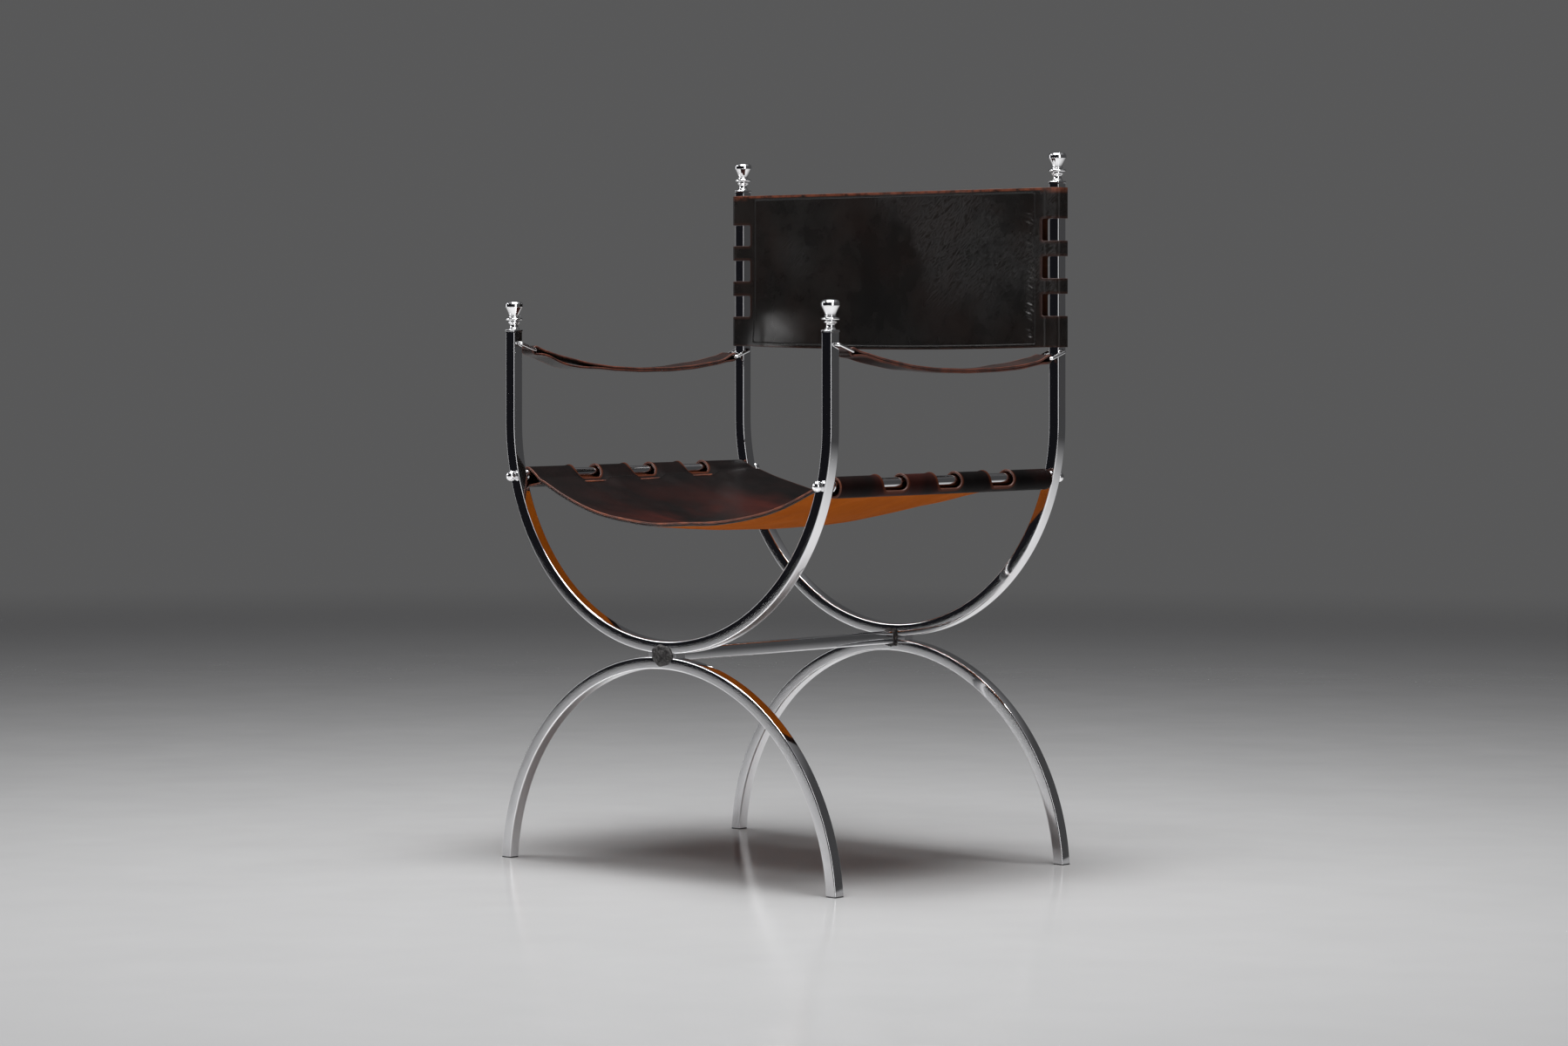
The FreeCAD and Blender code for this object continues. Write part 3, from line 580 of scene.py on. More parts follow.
for end_name, side_name in PLACES:
    along, across = ENDS[end_name], SIDES[side_name]
    foot = (across * POST_X, along * FRAME_Y, POST_TOPS[end_name] + CAP_THICK)
    shapes = [("turned_finial_", "finial_", 32,
               joined([square_plinth(foot), lathed(FINIAL, foot, (0, 0, 1), 64)]))]
    for name, node, outline, y, steps in (("domed_nut_", "ball_nut_", BALL_NUT, NUT_Y, 48),
                                          ("washer_", "rod_washer_", WASHER, ROD_END, 40)):
        shapes.append((name, node, 35,
                       lathed(outline, (across * ROD_X, along * y, ROD_Z), (0, along, 0), steps)))
    for name, node, sharp, (points, faces) in shapes:
        place = end_name + "_" + side_name
        make_piece(name + place, points, faces, [BRIGHT_CHROME], [node + place], "chrome",
                   sharp=sharp)

for side_name, across in SIDES.items():
    points, faces = lathed(SEAT_ROD, (across * ROD_X, -ROD_END, ROD_Z), (0, 1, 0), 40)
    make_piece("seat_bar_" + side_name, points, faces, [CHROME], ["seat_rod_" + side_name],
               "chrome", sharp=35)


# Welds

def wave(u, v, seed, size, count=7):
    """A smooth field about -1 to 1 from a few crossing waves, the same on every run."""
    pick = np.random.RandomState(seed)
    total = np.zeros(np.broadcast(u, v).shape)
    for _ in range(count):
        turn, phase = pick.uniform(0, 2 * pi, 2)
        pitch = 2 * pi / (size * pick.uniform(0.6, 1.5))
        total = total + np.sin(pitch * (cos(turn) * u + sin(turn) * v) + phase)
    return total / sqrt(count)


def lumpy_patch():
    """The rough weld over the front joint, a dome pressed on both tubes."""
    rings, around, points = 15, 56, []
    for ring in range(rings):
        share = ring / (rings - 1)
        for turn in turns(around):
            ragged = 1 + 0.05 * sin(3 * turn + 0.7) + 0.045 * sin(7 * turn + 2)
            x = 18.6 * share * ragged * cos(turn)
            z = 13.8 * share * ragged * sin(turn)
            rise = 4.2 * sqrt(max(0.0, 1 - share ** 2.6))
            lump = 0.55 * float(wave(x, z, 11, 9)) + 0.35 * float(wave(x, z, 12, 4))
            rise = max(0.0, rise + lump * min(1, 4 * (1 - share)))
            points.append((x, -FRAME_Y - TUBE_SIDE / 2 - rise, JOINT_Z + z))
    faces = ring_faces(rings, around, flip=True)
    faces.append(tuple(range((rings - 1) * around, rings * around)))
    make_piece("weld_lump", points, faces, [WELD], ["front_weld_patch"], "weld")


def weld_collar(end):
    """The fillet weld round the stretcher's end, a little uneven."""
    profile = [(0.05, 4.1), (0.9, 3.9), (2.2, 2.6), (3.0, 1.6), (3.9, 0.6), (4.1, 0.02)]
    around, points = 72, []
    for along, out in profile:
        for turn in turns(around):
            way = ray(turn)
            reach = TUBE_SIDE / 2 / max(abs(way))
            corner = min(1.0, 1.13 / (abs(way[0]) + abs(way[1])) + 0.16)
            bead = 1 + 0.16 * sin(19 * turn) + 0.12 * sin(7 * turn + along)
            spot = way * (reach * (0.96 * corner + 0.04) + out * bead)
            points.append((spot[0], ENDS[end] * (STRETCHER_END - along), JOINT_Z + spot[1]))
    faces = ring_faces(len(profile), around, flip=ENDS[end] < 0)
    make_piece(end + "_weld_fillet", points, faces, [WELD], [end + "_weld_collar"], "weld")


lumpy_patch()
weld_collar("front")
weld_collar("rear")


# Wire rings

def wire_ring(end, side):
    """A bent wire ring through its post, hanging towards the strap."""
    path = []
    far_x, far_y = RING_HALF - RING_BEND, RING_LENGTH - RING_BEND
    for cx, cy, start in ((far_x, far_y, 0), (-far_x, far_y, 90), (-far_x, RING_BEND, 180),
                          (far_x, RING_BEND, 270)):
        for a in np.radians(np.linspace(start, start + 90, 9)):
            path.append((cx + RING_BEND * cos(a), cy + RING_BEND * sin(a), cos(a), sin(a)))
    points, around, along = [], 16, ENDS[end]
    lean = along * RING_DROP
    for x, y, nx, ny in path:
        for turn in turns(around):
            out, lift = RING_WIRE * cos(turn), RING_WIRE * sin(turn)
            px, py = -along * (x + out * nx), -along * (y + out * ny)
            points.append((SIDES[side] * POST_X + px,
                           along * FRAME_Y + py * cos(lean) - lift * sin(lean),
                           RING_Z[end] + py * sin(lean) + lift * cos(lean)))
    place = end + "_" + side
    make_piece("wire_ring_" + place, points, ring_faces(len(path), around, True, True),
               [BRIGHT_CHROME], ["arm_ring_" + place], "chrome", body="ring_" + place)


def hole_shade_rims(end, side):
    """Painted shade: a dark rim round the ring's hole on both faces of its post, where the hole's
    shaded inside would show.
    """
    rim = [(2.45, -0.3)] + arc(2.75, 0.02, 0.42, 0.2, 180, 0, 7) + [(3.3, -0.3)]
    parts = []
    for face in (-1, 1):
        centre = (SIDES[side] * POST_X + face * TUBE_SIDE / 2, ENDS[end] * FRAME_Y, RING_Z[end])
        points, faces = lathed(rim, centre, (face, 0, 0), 28)
        parts.append((points, faces[:-2]))
    points, faces = joined(parts)
    # The rims take the dark weld metal as painted shade of the hole.
    make_piece("hole_shade_rims_" + end + "_" + side, points, faces, [WELD], slot="chrome")


for end_name, side_name in PLACES:
    wire_ring(end_name, side_name)
    hole_shade_rims(end_name, side_name)


# Leather sheets

def within(loop, points):
    """Which points lie inside a closed loop."""
    x, y = points[:, 0], points[:, 1]
    found = np.zeros(len(points), bool)
    for (ax, ay), (bx, by) in zip(loop, np.roll(loop, -1, axis=0)):
        crosses = (ay > y) != (by > y)
        if abs(by - ay) > 1e-12:
            found ^= crosses & (x < (bx - ax) * (y - ay) / (by - ay) + ax)
    return found


def distance_to(lines, points):
    """Each point's distance to the nearest of some (start, end) lines."""
    nearest = np.full(len(points), 1e9)
    for start, end in lines:
        start, end = np.asarray(start, float), np.asarray(end, float)
        along = end - start
        share = np.clip((points - start) @ along / max(along @ along, 1e-12), 0, 1)
        gap = np.linalg.norm(points - start - share[:, None] * along, axis=1)
        nearest = np.minimum(nearest, gap)
    return nearest


def loop_lines(loop):
    return list(zip(loop, np.roll(loop, -1, axis=0)))


def rounded_window(low_u, high_u, low_v, high_v, radius, step=1.7):
    """A closed counterclockwise loop with rounded corners."""
    points = []
    corners = [(high_u - radius, low_v + radius, -90), (high_u - radius, high_v - radius, 0),
               (low_u + radius, high_v - radius, 90), (low_u + radius, low_v + radius, 180)]
    count = max(4, int(radius * pi / 2 / step))
    for index, (cu, cv, start) in enumerate(corners):
        points += arc(cu, cv, radius, radius, start, start + 90, count + 1)
        nu, nv, after = corners[(index + 1) % 4]
        first, last = np.array(points[-1]), np.array([nu, nv]) + radius * ray(radians(after))
        pieces = max(1, int(np.linalg.norm(last - first) / (step * 1.4)))
        points += [tuple(first + (last - first) * k / pieces) for k in range(1, pieces)]
    return np.array(points)


def tangents(surface, flat, reach):
    """How a surface runs across and along at some flat places."""
    across, along = np.array([reach[0], 0]), np.array([0, reach[1]])
    return [(surface(*(flat + step).T) - surface(*(flat - step).T)) / (2 * size)
            for step, size in zip((across, along), reach)]


class Sheet:
    """A hide of even thickness over a flat (u, v) plan, bent by a surface function."""

    def __init__(self, surface, us, vs, windows, thickness, bulge, reach):
        self.surface, self.thickness, self.bulge, self.reach = surface, thickness, bulge, reach
        outline = [(u, vs[0]) for u in us] + [(us[-1], v) for v in vs[1:]]
        outline += [(u, vs[-1]) for u in us[-2::-1]] + [(us[0], v) for v in vs[-2:0:-1]]
        loops = [np.array(outline)] + windows
        grid = np.array([(u, v) for u in us[1:-1] for v in vs[1:-1]])
        for window in windows:
            near = distance_to(loop_lines(window), grid) < 0.9
            grid = grid[~(within(window, grid) | near)]
        flat = self.flat = np.concatenate(loops + [grid])
        self.outward = np.zeros_like(flat)
        self.loops, edges, start = [], [], 0
        for index, loop in enumerate(loops):
            ids = np.arange(start, start + len(loop))
            self.loops.append(ids)
            edges += list(zip(ids.tolist(), np.roll(ids, -1).tolist()))
            start += len(loop)
            along = np.roll(loop, -1, axis=0) - np.roll(loop, 1, axis=0)
            away = unit(np.stack([along[:, 1], -along[:, 0]], 1))
            self.outward[ids] = -away if index else away
        result = delaunay_2d_cdt([Vector(p) for p in flat.tolist()], edges, [], 0, 1e-6, True)
        source = [ids[0] for ids in result[3]]
        triangles = np.array([[source[i] for i in face] for face in result[2]])
        for window in windows:
            triangles = triangles[~within(window, flat[triangles].mean(1))]
        self.triangles = triangles

    def built_at(self, flat):
        """Points of the middle surface with its tangents and unit normals."""
        across, along = tangents(self.surface, flat, self.reach)
        return self.surface(*flat.T), across, along, unit(np.cross(across, along))

    def build(self, name, materials, seams=(), **settings):
        flat, half, count = self.flat, self.thickness / 2, len(self.flat)
        base, across, along, up = self.built_at(flat)
        points, normals, flats = [base + up * half, base - up * half], [up, -up], [flat, flat]
        faces = [tuple(face) for face in self.triangles.tolist()]
        kinds = [0] * len(faces) + [2] * len(faces)
        faces += [tuple(count + k for k in face[::-1]) for face in faces]
        total, rim_steps = 2 * count, 5
        for index, ids in enumerate(self.loops):
            outward = unit(self.outward[ids][:, :1] * across[ids]
                           + self.outward[ids][:, 1:] * along[ids])
            rows = [ids]
            for turn in np.arange(1, rim_steps) * pi / rim_steps:
                rise, push = cos(turn), sin(turn) ** 0.7
                points.append(base[ids] + up[ids] * (half * rise) + outward * (self.bulge * push))
                normals.append(unit(up[ids] * rise * 0.9 + outward * push))
                flats.append(flat[ids])
                rows.append(np.arange(total, total + len(ids)))
                total += len(ids)
            rows.append(ids + count)
            for row, after in zip(rows, rows[1:]):
                quads = np.stack([row, np.roll(row, -1), np.roll(after, -1), after], 1)
                faces += [tuple(quad) for quad in (quads if index else quads[:, ::-1]).tolist()]
                kinds += [1] * len(ids)
        flats = np.concatenate(flats)
        cuts = [line for ids in self.loops[1:] for line in loop_lines(flat[ids])]
        rims = {"edge": loop_lines(flat[self.loops[0]]), "cut": cuts, "seam": seams}
        return make_piece(name, np.concatenate(points), faces, materials,
                          normals=np.concatenate(normals), face_materials=kinds, uv=flats,
                          floats={key: distance_to(lines, flats) * MM
                                  for key, lines in rims.items()}, **settings)

    def stitches(self, name, seams, pitch=4.2, length=3.0, thick=0.42, **settings):
        """Short thread stitches along the seams, half sunk in the grain side."""
        parts, slant, around = [], 0.12, 6
        spans = [(-0.5, 0.25), (-0.42, 0.8), (-0.2, 1.0), (0.2, 1.0), (0.42, 0.8), (0.5, 0.25)]
        for seam in seams:
            start, end = np.array(seam, float)
            run = np.linalg.norm(end - start)
            way = (end - start) / run
            lean = way + slant * np.array([-way[1], way[0]])
            for at in np.arange(pitch / 2, run, pitch):
                spots = np.array([start + way * at + lean * length * s for s, _ in spans])
                base, _, _, up = self.built_at(spots)
                across = np.cross(unit(np.gradient(base, axis=0)), up)
                rings = []
                for k, (s, wide) in enumerate(spans):
                    sink = self.thickness / 2 + thick * (0.35 - 3 * s ** 2)
                    for turn in turns(around):
                        rings.append(base[k] + up[k] * (sink + thick * wide * sin(turn))
                                     + across[k] * thick * wide * cos(turn))
                parts.append((rings, capped(len(spans), around)))
        points, faces = joined(parts)
        return make_piece(name, points, faces, [THREAD], **settings)


def marks(*places):
    """Rising values from place to place, without repeats. A step stands between two places."""
    values = []
    for start, step, end in zip(places[::2], places[1::2], places[2::2]):
        count = max(1, int(round(abs(end - start) / step)))
        values += list(np.linspace(start, end, count + 1))
    values = sorted(values)
    kept = [values[0]]
    for value in values[1:]:
        if value - kept[-1] > 0.35:
            kept.append(value)
    return kept


def rows_at(values, count):
    """The row before each value, and its share of the way to the next row."""
    at = np.clip(values, 0, count - 1.001)
    index = at.astype(int)
    return index, (at - index)[:, None]


def table_lookup(table, step, values):
    """Linear lookup in evenly spaced rows from zero on."""
    index, share = rows_at(values / step, len(table))
    return table[index] * (1 - share) + table[index + 1] * share


# Seat: a sling over both rods, its hems sewn under it

SEAT_HALF = {-1: 266.0, 1: 302.0}
SEAT_LOOP_R, SEAT_LOOP_Z = 12.1, 502.7
SEAT_END, SEAT_LOW_X = 203.4, -22.0
HEM_REACH = 64.0
SEAM_IN = 29.0
HIDE_THICK = 3.0


def seat_section(y, side):
    """Plan distance, x and z from the low point over one rod to the end of the hem."""
    share = y / 204
    low = 442.8 + 8.3 * share + 15.4 * share ** 2 - HIDE_THICK / 2
    power = 2.135 - 0.365 * share
    bow = (power - 2) / 2
    phi = 0.4
    for _ in range(30):
        tip_x = ROD_X - SEAT_LOOP_R * sin(phi)
        tip_z = SEAT_LOOP_Z + SEAT_LOOP_R * cos(phi)
        reach = tip_x - side * SEAT_LOW_X
        phi = 0.5 * phi + 0.5 * atan(power * (tip_z - low) / reach)
    xi = np.linspace(0, 1, 200)
    x = side * SEAT_LOW_X + reach * xi
    z = low + (tip_z - low) * ((1 - bow) * xi ** 2 + bow * xi ** 4)
    run = np.concatenate([[0], np.cumsum(np.hypot(np.diff(x), np.diff(z)))])
    run *= (SEAT_HALF[side] - SEAT_LOOP_R * phi) / run[-1]
    hem_x = ROD_X - SEAM_IN
    index = np.searchsorted(x, hem_x)
    slope = atan((z[index + 1] - z[index]) / (x[index + 1] - x[index]))
    hem_z = z[index] - 3.25 / cos(slope)
    leave = (atan2(hem_z - SEAT_LOOP_Z, hem_x - ROD_X)
             + acos(SEAT_LOOP_R / hypot(hem_x - ROD_X, hem_z - SEAT_LOOP_Z)))
    leave = leave - 2 * pi if leave > 0 else leave
    angles = np.linspace(pi / 2 + phi, leave, 60)[1:]
    arc_x, arc_z = ROD_X + SEAT_LOOP_R * np.cos(angles), SEAT_LOOP_Z + SEAT_LOOP_R * np.sin(angles)
    arc_run = SEAT_HALF[side] + SEAT_LOOP_R * (pi / 2 - angles)
    line = np.linspace(0, 1.3, 30)[1:]
    length = hypot(hem_x - arc_x[-1], hem_z - arc_z[-1])
    line_x = arc_x[-1] + (hem_x - arc_x[-1]) * line
    line_z = arc_z[-1] + (hem_z - arc_z[-1]) * line
    return (np.concatenate([run, arc_run, arc_run[-1] + length * line]),
            side * np.concatenate([x, arc_x, line_x]), np.concatenate([z, arc_z, line_z]))


STATION_STEP, SEAT_STEP = 5.0, 0.5
SEAT_STATIONS = np.arange(-210, 210.1, STATION_STEP)
SEAT_SPAN = (-SEAT_HALF[-1] - HEM_REACH - 6, SEAT_HALF[1] + HEM_REACH + 6)


def seat_table():
    plan = np.arange(*SEAT_SPAN, SEAT_STEP)
    rows = []
    for y in SEAT_STATIONS:
        left, right = (np.array(seat_section(y, side)) for side in (-1, 1))
        left[0] *= -1
        run, x, z = np.concatenate([left[:, ::-1], right[:, 1:]], 1)
        rows.append(np.stack([np.interp(plan, run, x), np.interp(plan, run, z)], 1))
    return np.array(rows)


SEAT_TABLE = seat_table()


def seat_base(u, v):
    """The hung sheet's middle surface."""
    row, share = rows_at((v - SEAT_STATIONS[0]) / STATION_STEP, len(SEAT_STATIONS))
    column, part = rows_at((u - SEAT_SPAN[0]) / SEAT_STEP, SEAT_TABLE.shape[1])
    low, high = (SEAT_TABLE[r, column] * (1 - part) + SEAT_TABLE[r, column + 1] * part
                 for r in (row, row + 1))
    xz = low * (1 - share) + high * share
    return np.stack([xz[:, 0], v, xz[:, 1]], 1)


WINDOW_ROWS = (-103.0, 0.0, 103.0)
WINDOW_HALF = 23.6


def smooth(value, low, high):
    share = np.clip((value - low) / (high - low), 0, 1)
    return share * share * (3 - 2 * share)


def seat_surface(u, v):
    """The hung sheet with its lips sunk between the tabs and the tabs' edges rolled out."""
    points = seat_base(u, v)
    inboard = np.minimum(SEAT_HALF[1] - u, u + SEAT_HALF[-1])
    free = np.clip((inboard - 14) / 60, 0, 1)
    points[:, 2] += free * (0.9 * wave(u, v, 21, 170) + 0.35 * wave(u, v, 22, 60))
    apart = np.min([np.abs(v - row) for row in WINDOW_ROWS], axis=0) - WINDOW_HALF
    lip = smooth(inboard, 4, 17) * (1 - smooth(inboard, 26, 78))
    points[:, 2] -= 6.0 * lip * (1 - smooth(apart, -9, 9))
    points[:, 2] -= 2.2 * np.exp(-((inboard - 27) / 8) ** 2)
    side = np.where(u > (SEAT_HALF[1] - SEAT_HALF[-1]) / 2, 1.0, -1.0)
    out_x, out_z = points[:, 0] - side * ROD_X, points[:, 2] - SEAT_LOOP_Z
    reach = np.maximum(np.hypot(out_x, out_z), 1e-6)
    roll = (1 - smooth(apart, 0, 7)) ** 1.5 * smooth(inboard, 24, 10) * smooth(inboard, -34, -22)
    points[:, 0] += 1.5 * roll * out_x / reach
    points[:, 2] += 1.5 * roll * out_z / reach
    return points


SEAT_REACH, BACK_REACH, STRAP_REACH = (0.5, 4.0), (0.5, 0.5), (0.6, 0.6)
SEAT_LEFT, SEAT_RIGHT = -SEAT_HALF[-1], SEAT_HALF[1]


def seat():
    left, right = SEAT_LEFT, SEAT_RIGHT
    us = marks(left - HEM_REACH, 3.5, left - 38, 1.5, left + 10, 3.5, left + 40, 7,
               right - 40, 3.5, right - 10, 1.5, right + 38, 3.5, right + HEM_REACH)
    vs = marks(-SEAT_END, 2.6, -SEAT_END + 16, 5.2, SEAT_END - 16, 2.6, SEAT_END)
    windows = []
    for row in WINDOW_ROWS:
        for low, high in ((right - 19, right + 25.5), (left - 25.5, left + 19)):
            windows.append(rounded_window(low, high, row - WINDOW_HALF, row + WINDOW_HALF, 11))
    sheet = Sheet(seat_surface, us, vs, windows, HIDE_THICK, 0.6, SEAT_REACH)
    seams = [((u, -200), (u, 200)) for u in (left + SEAM_IN, right - SEAM_IN)]
    piece = sheet.build("seat_hide_sling", SEAT_HIDE, seams, replaced=["seat_sling"],
                        slot="seat_leather")
    thread = sheet.stitches("seat_stitching", seams)


def seat_lining():
    left, right = SEAT_LEFT + 27.5, SEAT_RIGHT - 27.5

    def surface(u, v):
        across, along = tangents(seat_surface, np.stack([u, v], 1), SEAT_REACH)
        return seat_surface(u, v) - unit(np.cross(across, along)) * 2.75
    vs = marks(-202.9, 3, -190, 6, 190, 3, 202.9)
    sheet = Sheet(surface, marks(left, 8, right), vs, [], 2.0, 0.45, SEAT_REACH)
    piece = sheet.build("seat_under_ply", SEAT_LINING, replaced=["seat_lining"],
                        slot="seat_lining_leather")
    (right - left) * MM


seat()
seat_lining()


# Back: a panel looped round both rear posts, its ends sewn behind it

def rounded_path(points, radii, step):
    """Evenly spaced points along a polyline whose inner corners are rounded."""
    points = [np.asarray(p, float) for p in points]
    dense = [points[0]]
    for before, corner, after, radius in zip(points, points[1:], points[2:], radii):
        first, second = unit(corner - before), unit(after - corner)
        along = float(first @ second)
        turn = acos(max(-1, min(1, along)))
        inward = unit(second - first * along)
        centre = corner - first * (radius * tan(turn / 2)) + inward * radius
        for a in np.linspace(0, turn, max(3, int(turn / 0.05))):
            dense.append(centre - inward * radius * cos(a) + first * radius * sin(a))
    return evenly(np.array(dense + [points[-1]]), step)


BACK_TOP, BACK_BOTTOM = 883.5, 674.5
BACK_HIGH, BACK_MIDDLE = BACK_TOP - BACK_BOTTOM, (BACK_TOP + BACK_BOTTOM) / 2
BACK_FRONT_Y, BACK_REAR_Y, BACK_OUT_X, BACK_FLAP_Y = 209.2, 228.75, 293.75, 212.5
BACK_STEP = 0.25
BACK_PATH = rounded_path([(0, BACK_FRONT_Y), (BACK_OUT_X, BACK_FRONT_Y),
                          (BACK_OUT_X, BACK_REAR_Y), (275.5, BACK_REAR_Y),
                          (256.5, BACK_FLAP_Y), (240, BACK_FLAP_Y)],
                         [4.0, 4.0, 5.0, 6.0], BACK_STEP)


def back_surface(u, v):
    """The looped sheet, bowed back between the posts, gathered at its seam, flared at its foot."""
    plan = table_lookup(BACK_PATH, BACK_STEP, np.abs(u))
    x, y = np.where(u < 0, -1.0, 1.0) * plan[:, 0], plan[:, 1].copy()
    height = (v - BACK_BOTTOM) / BACK_HIGH
    z = v - 4.0 * np.clip(1 - (x / 270) ** 2, 0, 1) * np.clip(1 - height * 1.6, 0, 1)
    share = np.clip(1 - (x / 252) ** 2, 0, 1)
    y += share ** 1.4 * (2.2 + 2.4 * (1 - height) ** 2) * 0.8
    free = np.clip((250 - np.abs(u)) / 60, 0, 1)
    y += free * (0.3 * wave(u, v, 31, 120) + 0.08 * wave(u, v, 32, 45))
    near_seam = np.exp(-((u - 247) / 8) ** 2) * np.clip(1.25 - height * 0.9, 0, 1)
    fits = np.clip(0.45 + 0.9 * wave(u * 0.2, v, 33, 40), 0, 1)
    gathers = np.sin(v * 2 * pi / 6.6 + 2.4 * np.sin(v / 17) + 0.42 * u)
    gathers += 0.8 * np.sin(v * 2 * pi / 11.7 + 1.7 * np.sin(v / 29) - 0.09 * u)
    y += near_seam * fits * 0.27 * gathers - 0.8 * np.exp(-((u - 275) / 3.5) ** 2)
    away = np.where(u < -222, (u + 222) / 30, (u + 222) / 75)
    lean = np.clip(1 - (v - BACK_BOTTOM) / 50, -0.8, 1)
    y -= 10.0 * np.exp(-away ** 2) * (lean + np.sqrt(lean ** 2 + 0.05)) / 2
    return np.stack([x, y, z], 1)


END_TAB, MIDDLE_TAB = 41.0, 20.5
BACK_GAP = (BACK_HIGH - 2 * END_TAB - 2 * MIDDLE_TAB) / 3
WINDOW_IN = {-1: 259, 1: 266}


def back():
    far = (len(BACK_PATH) - 1) * BACK_STEP - 0.6
    half = marks(0, 7, 236, 2, 262, 1.5, 286, 1.3, far)
    us = [-u for u in half[:0:-1]] + half
    vs = marks(BACK_BOTTOM + 0.6, 2.6, BACK_BOTTOM + 14, 2.2, BACK_TOP - 14, 2.6, BACK_TOP - 0.6)
    flap = (BACK_PATH[:, 0] < 266) & (BACK_PATH[:, 1] > 212.6)
    out = np.where(flap)[0][0] * BACK_STEP
    windows = []
    for row in (-1, 0, 1):
        middle = BACK_MIDDLE + row * (MIDDLE_TAB + BACK_GAP)
        low, high = middle - BACK_GAP / 2 - 0.6, middle + BACK_GAP / 2 + 0.6
        windows.append(rounded_window(WINDOW_IN[1], out, low, high, 2.8, 1.5))
        windows.append(rounded_window(-out, -WINDOW_IN[-1], low, high, 2.8, 1.5))
    sheet = Sheet(back_surface, us, vs, windows, HIDE_THICK, 0.6, BACK_REACH)
    left, right, low, high = -250, 255, BACK_BOTTOM + 5.5, BACK_TOP - 5.5
    seams = [((left, low), (right, low)), ((left, high), (right, high)),
             ((left, low), (left, high)), ((right, low), (right, high))]
    piece = sheet.build("back_hide_panel", BACK_HIDE, seams, replaced=["back_panel"],
                        slot="back_leather")
    thread = sheet.stitches("back_stitching", seams, pitch=5.6, length=2.5, thick=0.45)


def back_lining():
    def surface(u, v):
        return back_surface(u, v) + np.array([0, 2.95, 0])
    sheet = Sheet(surface, marks(-239.2, 9, 239.2), marks(BACK_BOTTOM + 3.2, 6, BACK_TOP - 3.2),
                  [], 2.4, 0.5, BACK_REACH)
    piece = sheet.build("back_under_ply", BACK_HIDE, replaced=["back_lining"],
                        slot="back_leather")


back()
back_lining()


# Arm straps: a belt of leather folded round both rings

STRAP_ENDS = [(ENDS[end] * (FRAME_Y - RING_LENGTH * cos(RING_DROP)),
               RING_Z[end] - RING_LENGTH * sin(RING_DROP)) for end in ENDS]
STRAP_LOW_Y = 22.0
STRAP_SAG = {-1: 22.5, 1: 20.0}
STRAP_DROOP = {-1: 6.0, 1: 0.6}
PLY_GAP, LOOP_R, STRAP_STEP = 1.58, 4.6, 0.4


def strap_line(side):
    """The strap's middle line from ring to ring as evenly spaced (y, z)."""
    (fy, fz), (ry, rz) = STRAP_ENDS
    low_z = (fz + rz) / 2 - STRAP_SAG[side]
    ys = np.linspace(fy, ry, 400)
    front = np.clip((STRAP_LOW_Y - ys) / (STRAP_LOW_Y - fy), 0, 1)
    rear = np.clip((ys - STRAP_LOW_Y) / (ry - STRAP_LOW_Y), 0, 1)
    zs = low_z + (fz - low_z) * front ** 2.05 + (rz - low_z) * rear ** 2.0
    return np.stack([ys, zs], 1)


def strap_path(side):
    """A closed belt round both ring bars, from the middle of the lower run and back to it."""
    line = strap_line(side)
    run = run_along(line)
    way = unit(np.gradient(line, axis=0))
    up = np.stack([-way[:, 1], way[:, 0]], 1)
    close = np.minimum(run, run[-1] - run)
    gap = PLY_GAP + (LOOP_R - PLY_GAP) * np.exp(-(close / 13.0) ** 2)
    droop = np.exp(-((run - 66) / 40) ** 2) * STRAP_DROOP[side]
    inset = 1.6
    keep = close > inset + 1.0
    top = (line + up * gap[:, None])[keep]
    bottom = (line - up * (gap + droop)[:, None])[keep]
    front, rear = line[0] + way[0] * inset, line[-1] - way[-1] * inset
    half_turn = np.linspace(0, pi, 24)
    middle = int(len(bottom) * 0.62)
    belt = np.concatenate([
        bottom[middle::-1],
        [front + LOOP_R * (-cos(a) * up[0] - sin(a) * way[0]) for a in half_turn],
        top,
        [rear + LOOP_R * (cos(a) * up[-1] + sin(a) * way[-1]) for a in half_turn],
        bottom[:middle:-1]])
    return evenly(belt, STRAP_STEP)


def arm_strap(side_name):
    side = SIDES[side_name]
    path, line = strap_path(side), strap_line(side)
    total = (len(path) - 1) * STRAP_STEP
    (fy, _), (ry, _) = STRAP_ENDS

    def surface(u, v):
        y, z = table_lookup(path, STRAP_STEP, u).T
        share = (y - fy) / (ry - fy)
        centre_z = np.interp(y, *line.T)
        calm = np.clip(np.minimum(share, 1 - share) / 0.07, 0, 1)
        twist = 15 * np.clip(1 - share * 2.6, 0, 1) - 14 * np.clip(share * 2.6 - 1.6, 0, 1)
        twist = np.radians(twist) * calm
        lift = z - centre_z
        x = side * POST_X - v * np.cos(twist) - lift * np.sin(twist)
        z = centre_z - v * np.sin(twist) + lift * np.cos(twist)
        return np.stack([x, y, z + calm * 0.35 * wave(y, v, 41 + side, 60)], 1)
    sheet = Sheet(surface, marks(0.3, 2.4, total - 0.3), marks(-10.5, 2.1, 10.5), [], 2.9, 0.5,
                  STRAP_REACH)
    rising = np.where(np.diff(path[:, 0]) > 0)[0] + 1
    first, last = rising[0] * STRAP_STEP + 14, rising[-1] * STRAP_STEP - 14
    seams = [((first, v), (last, v)) for v in (-8.3, 8.3)]
    body = "strap_" + side_name
    piece = sheet.build("strap_belt_" + side_name, STRAP_HIDE, seams, body=body,
                        replaced=["arm_strap_" + side_name], slot="strap_leather")
    thread = sheet.stitches("strap_stitching_" + side_name, seams, pitch=3.8, length=2.7,
                            thick=0.36, body=body)


for side_name in SIDES:
    arm_strap(side_name)


# CAD nodes that stay

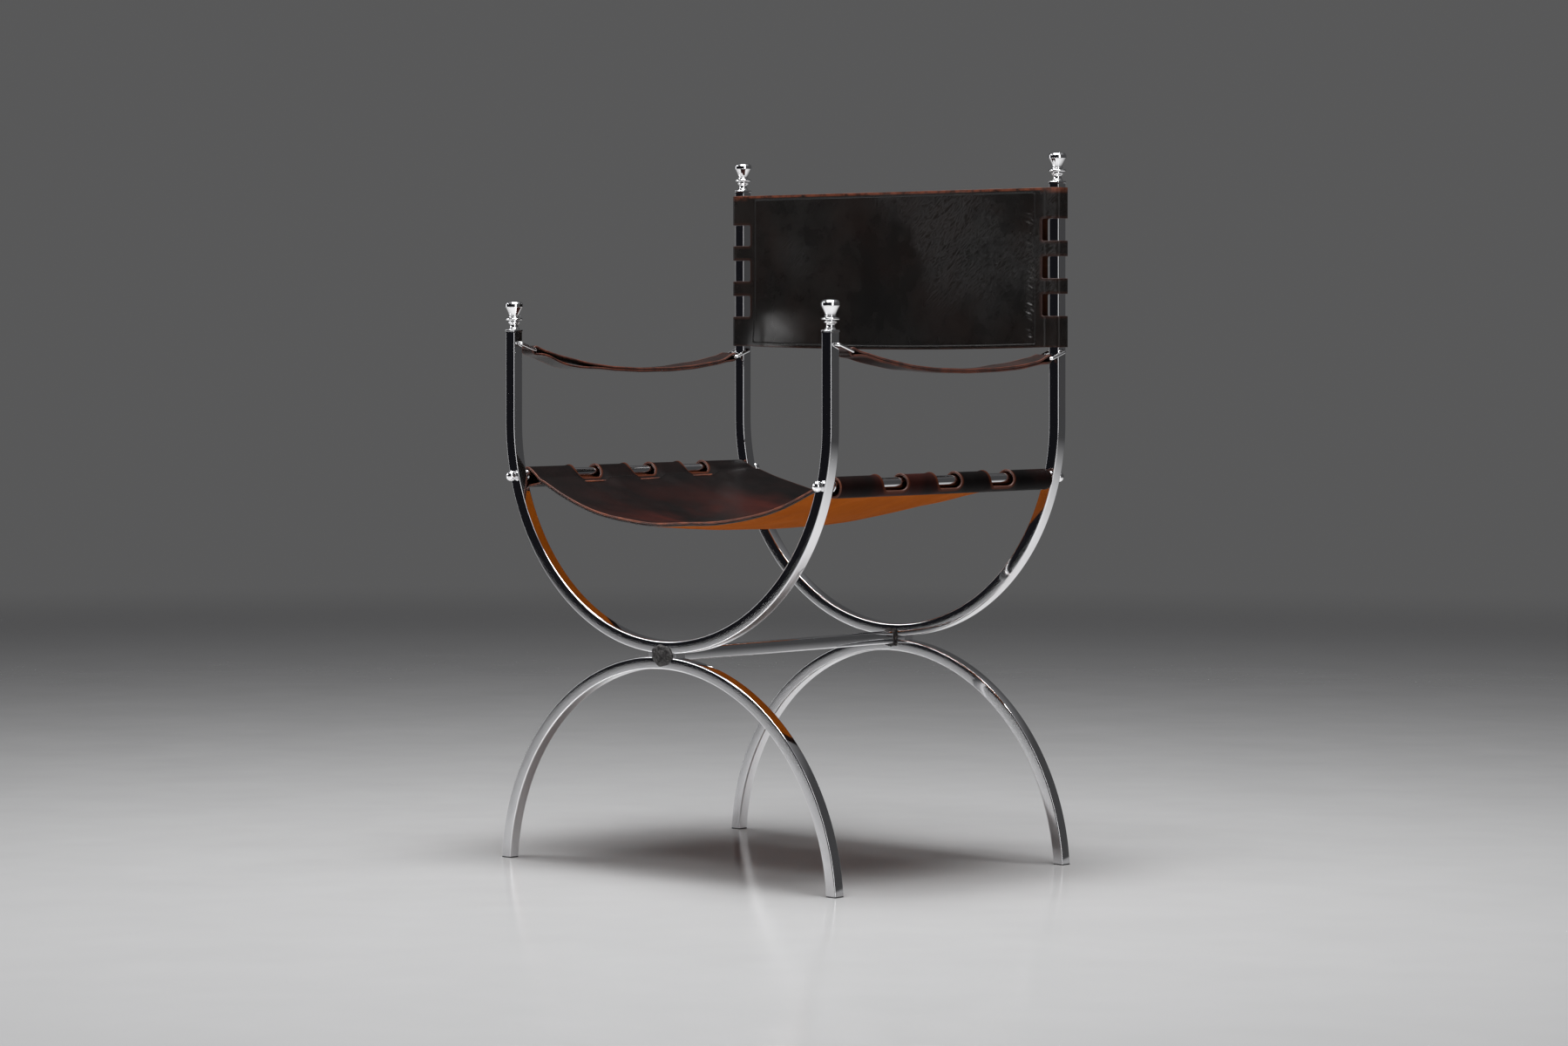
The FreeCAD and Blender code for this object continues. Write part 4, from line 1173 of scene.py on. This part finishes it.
kept = [(end_name + "_joint_plate", CHROME) for end_name in ENDS]
kept += [("tie_rod_" + side_name, CHROME) for side_name in SIDES]
for end_name, side_name in PLACES:
    kept += [("foot_plug_" + end_name + "_" + side_name, PLUG),
             ("post_cap_" + end_name + "_" + side_name, BRIGHT_CHROME)]
for node, finish in kept:
    nodes[node].data.materials.clear()
    nodes[node].data.materials.append(finish)


# Floor, world and lights

def floor():
    rings = [0, 600, 1200, 2000, 3000, 4500, 7000]
    points, faces = lathed([(radius, 0) for radius in rings], (0, 0, -0.05), (0, 0, 1), 72)
    mesh = bpy.data.meshes.new("floor")
    mesh.from_pydata((points * MM).tolist(), [], faces[:-1])
    mesh.materials.append(material("floor_painted_light", floor_painted_light))
    placed("floor", mesh)


def world():
    """Plain grey studio walls, a dim side and soft panels that the chrome mirrors."""
    scene.world = bpy.data.worlds.new("studio")
    tree = cleared(scene.world)
    x, y, z = split(coords(tree, "Generated"))
    level = maths("SQRT", x * x + (y * y + 1e-6))

    def toward(degrees):
        """The cosine between a direction on plan and the ray."""
        return maths("DIVIDE", x * cos(radians(degrees)) + y * sin(radians(degrees)), level)

    def panel(degrees, half, low, high, soft, blur=0.05):
        wide = span(toward(degrees), cos(radians(half + soft)), cos(radians(half)))
        sill, top = sin(radians(low)), sin(radians(high))
        return wide * (span(z, sill - blur, sill + 0.02) * span(z, top + blur, top - 0.02))

    wall = mix(span(toward(-112), 0.05, 0.62), (0.062, 0.062, 0.064), (0.008, 0.008, 0.010))
    wall = mix(span(toward(133), 0.3, 0.95), wall, (0.070, 0.070, 0.072))
    studio = mix(span(z, 0.55, 0.85), wall, (0.30, 0.30, 0.31))
    for outline, light in (((-20, 7, -12, 50, 4.0), (2.2, 2.2, 2.23)),
                           ((-159, 7, -12, 40, 3.0), (1.3, 1.3, 1.33)),
                           ((-131, 9, 18, 27, 4.0), (10.5, 10.5, 10.6))):
        studio = mix(panel(*outline), studio, light)
    seen, glossy, through = (add(tree, "LightPath", (), "Is " + kind + " Ray")
                             for kind in ("Camera", "Glossy", "Transmission"))
    mirror = maths("MAXIMUM", maths("MAXIMUM", seen, glossy), through)
    colour = mix(mirror, (0.05, 0.05, 0.051), mix(seen, studio, (0.098, 0.098, 0.099)))
    add(tree, "OutputWorld", {0: add(tree, "Background", {0: colour})}, None)


floor()
world()

lamp_data = bpy.data.lights.new("overhead", "AREA")
lamp_data.shape = "RECTANGLE"
lamp_data.size = lamp_data.size_y = 2.0
lamp_data.energy = 206
lamp = placed("overhead", lamp_data)
lamp.location = (0.2, -0.25, 3.6)
away = Vector((0.1, -0.1, 0.4)) - lamp.location
lamp.rotation_euler = away.to_track_quat("-Z", "Y").to_euler()

scene.view_settings.view_transform = "Standard"
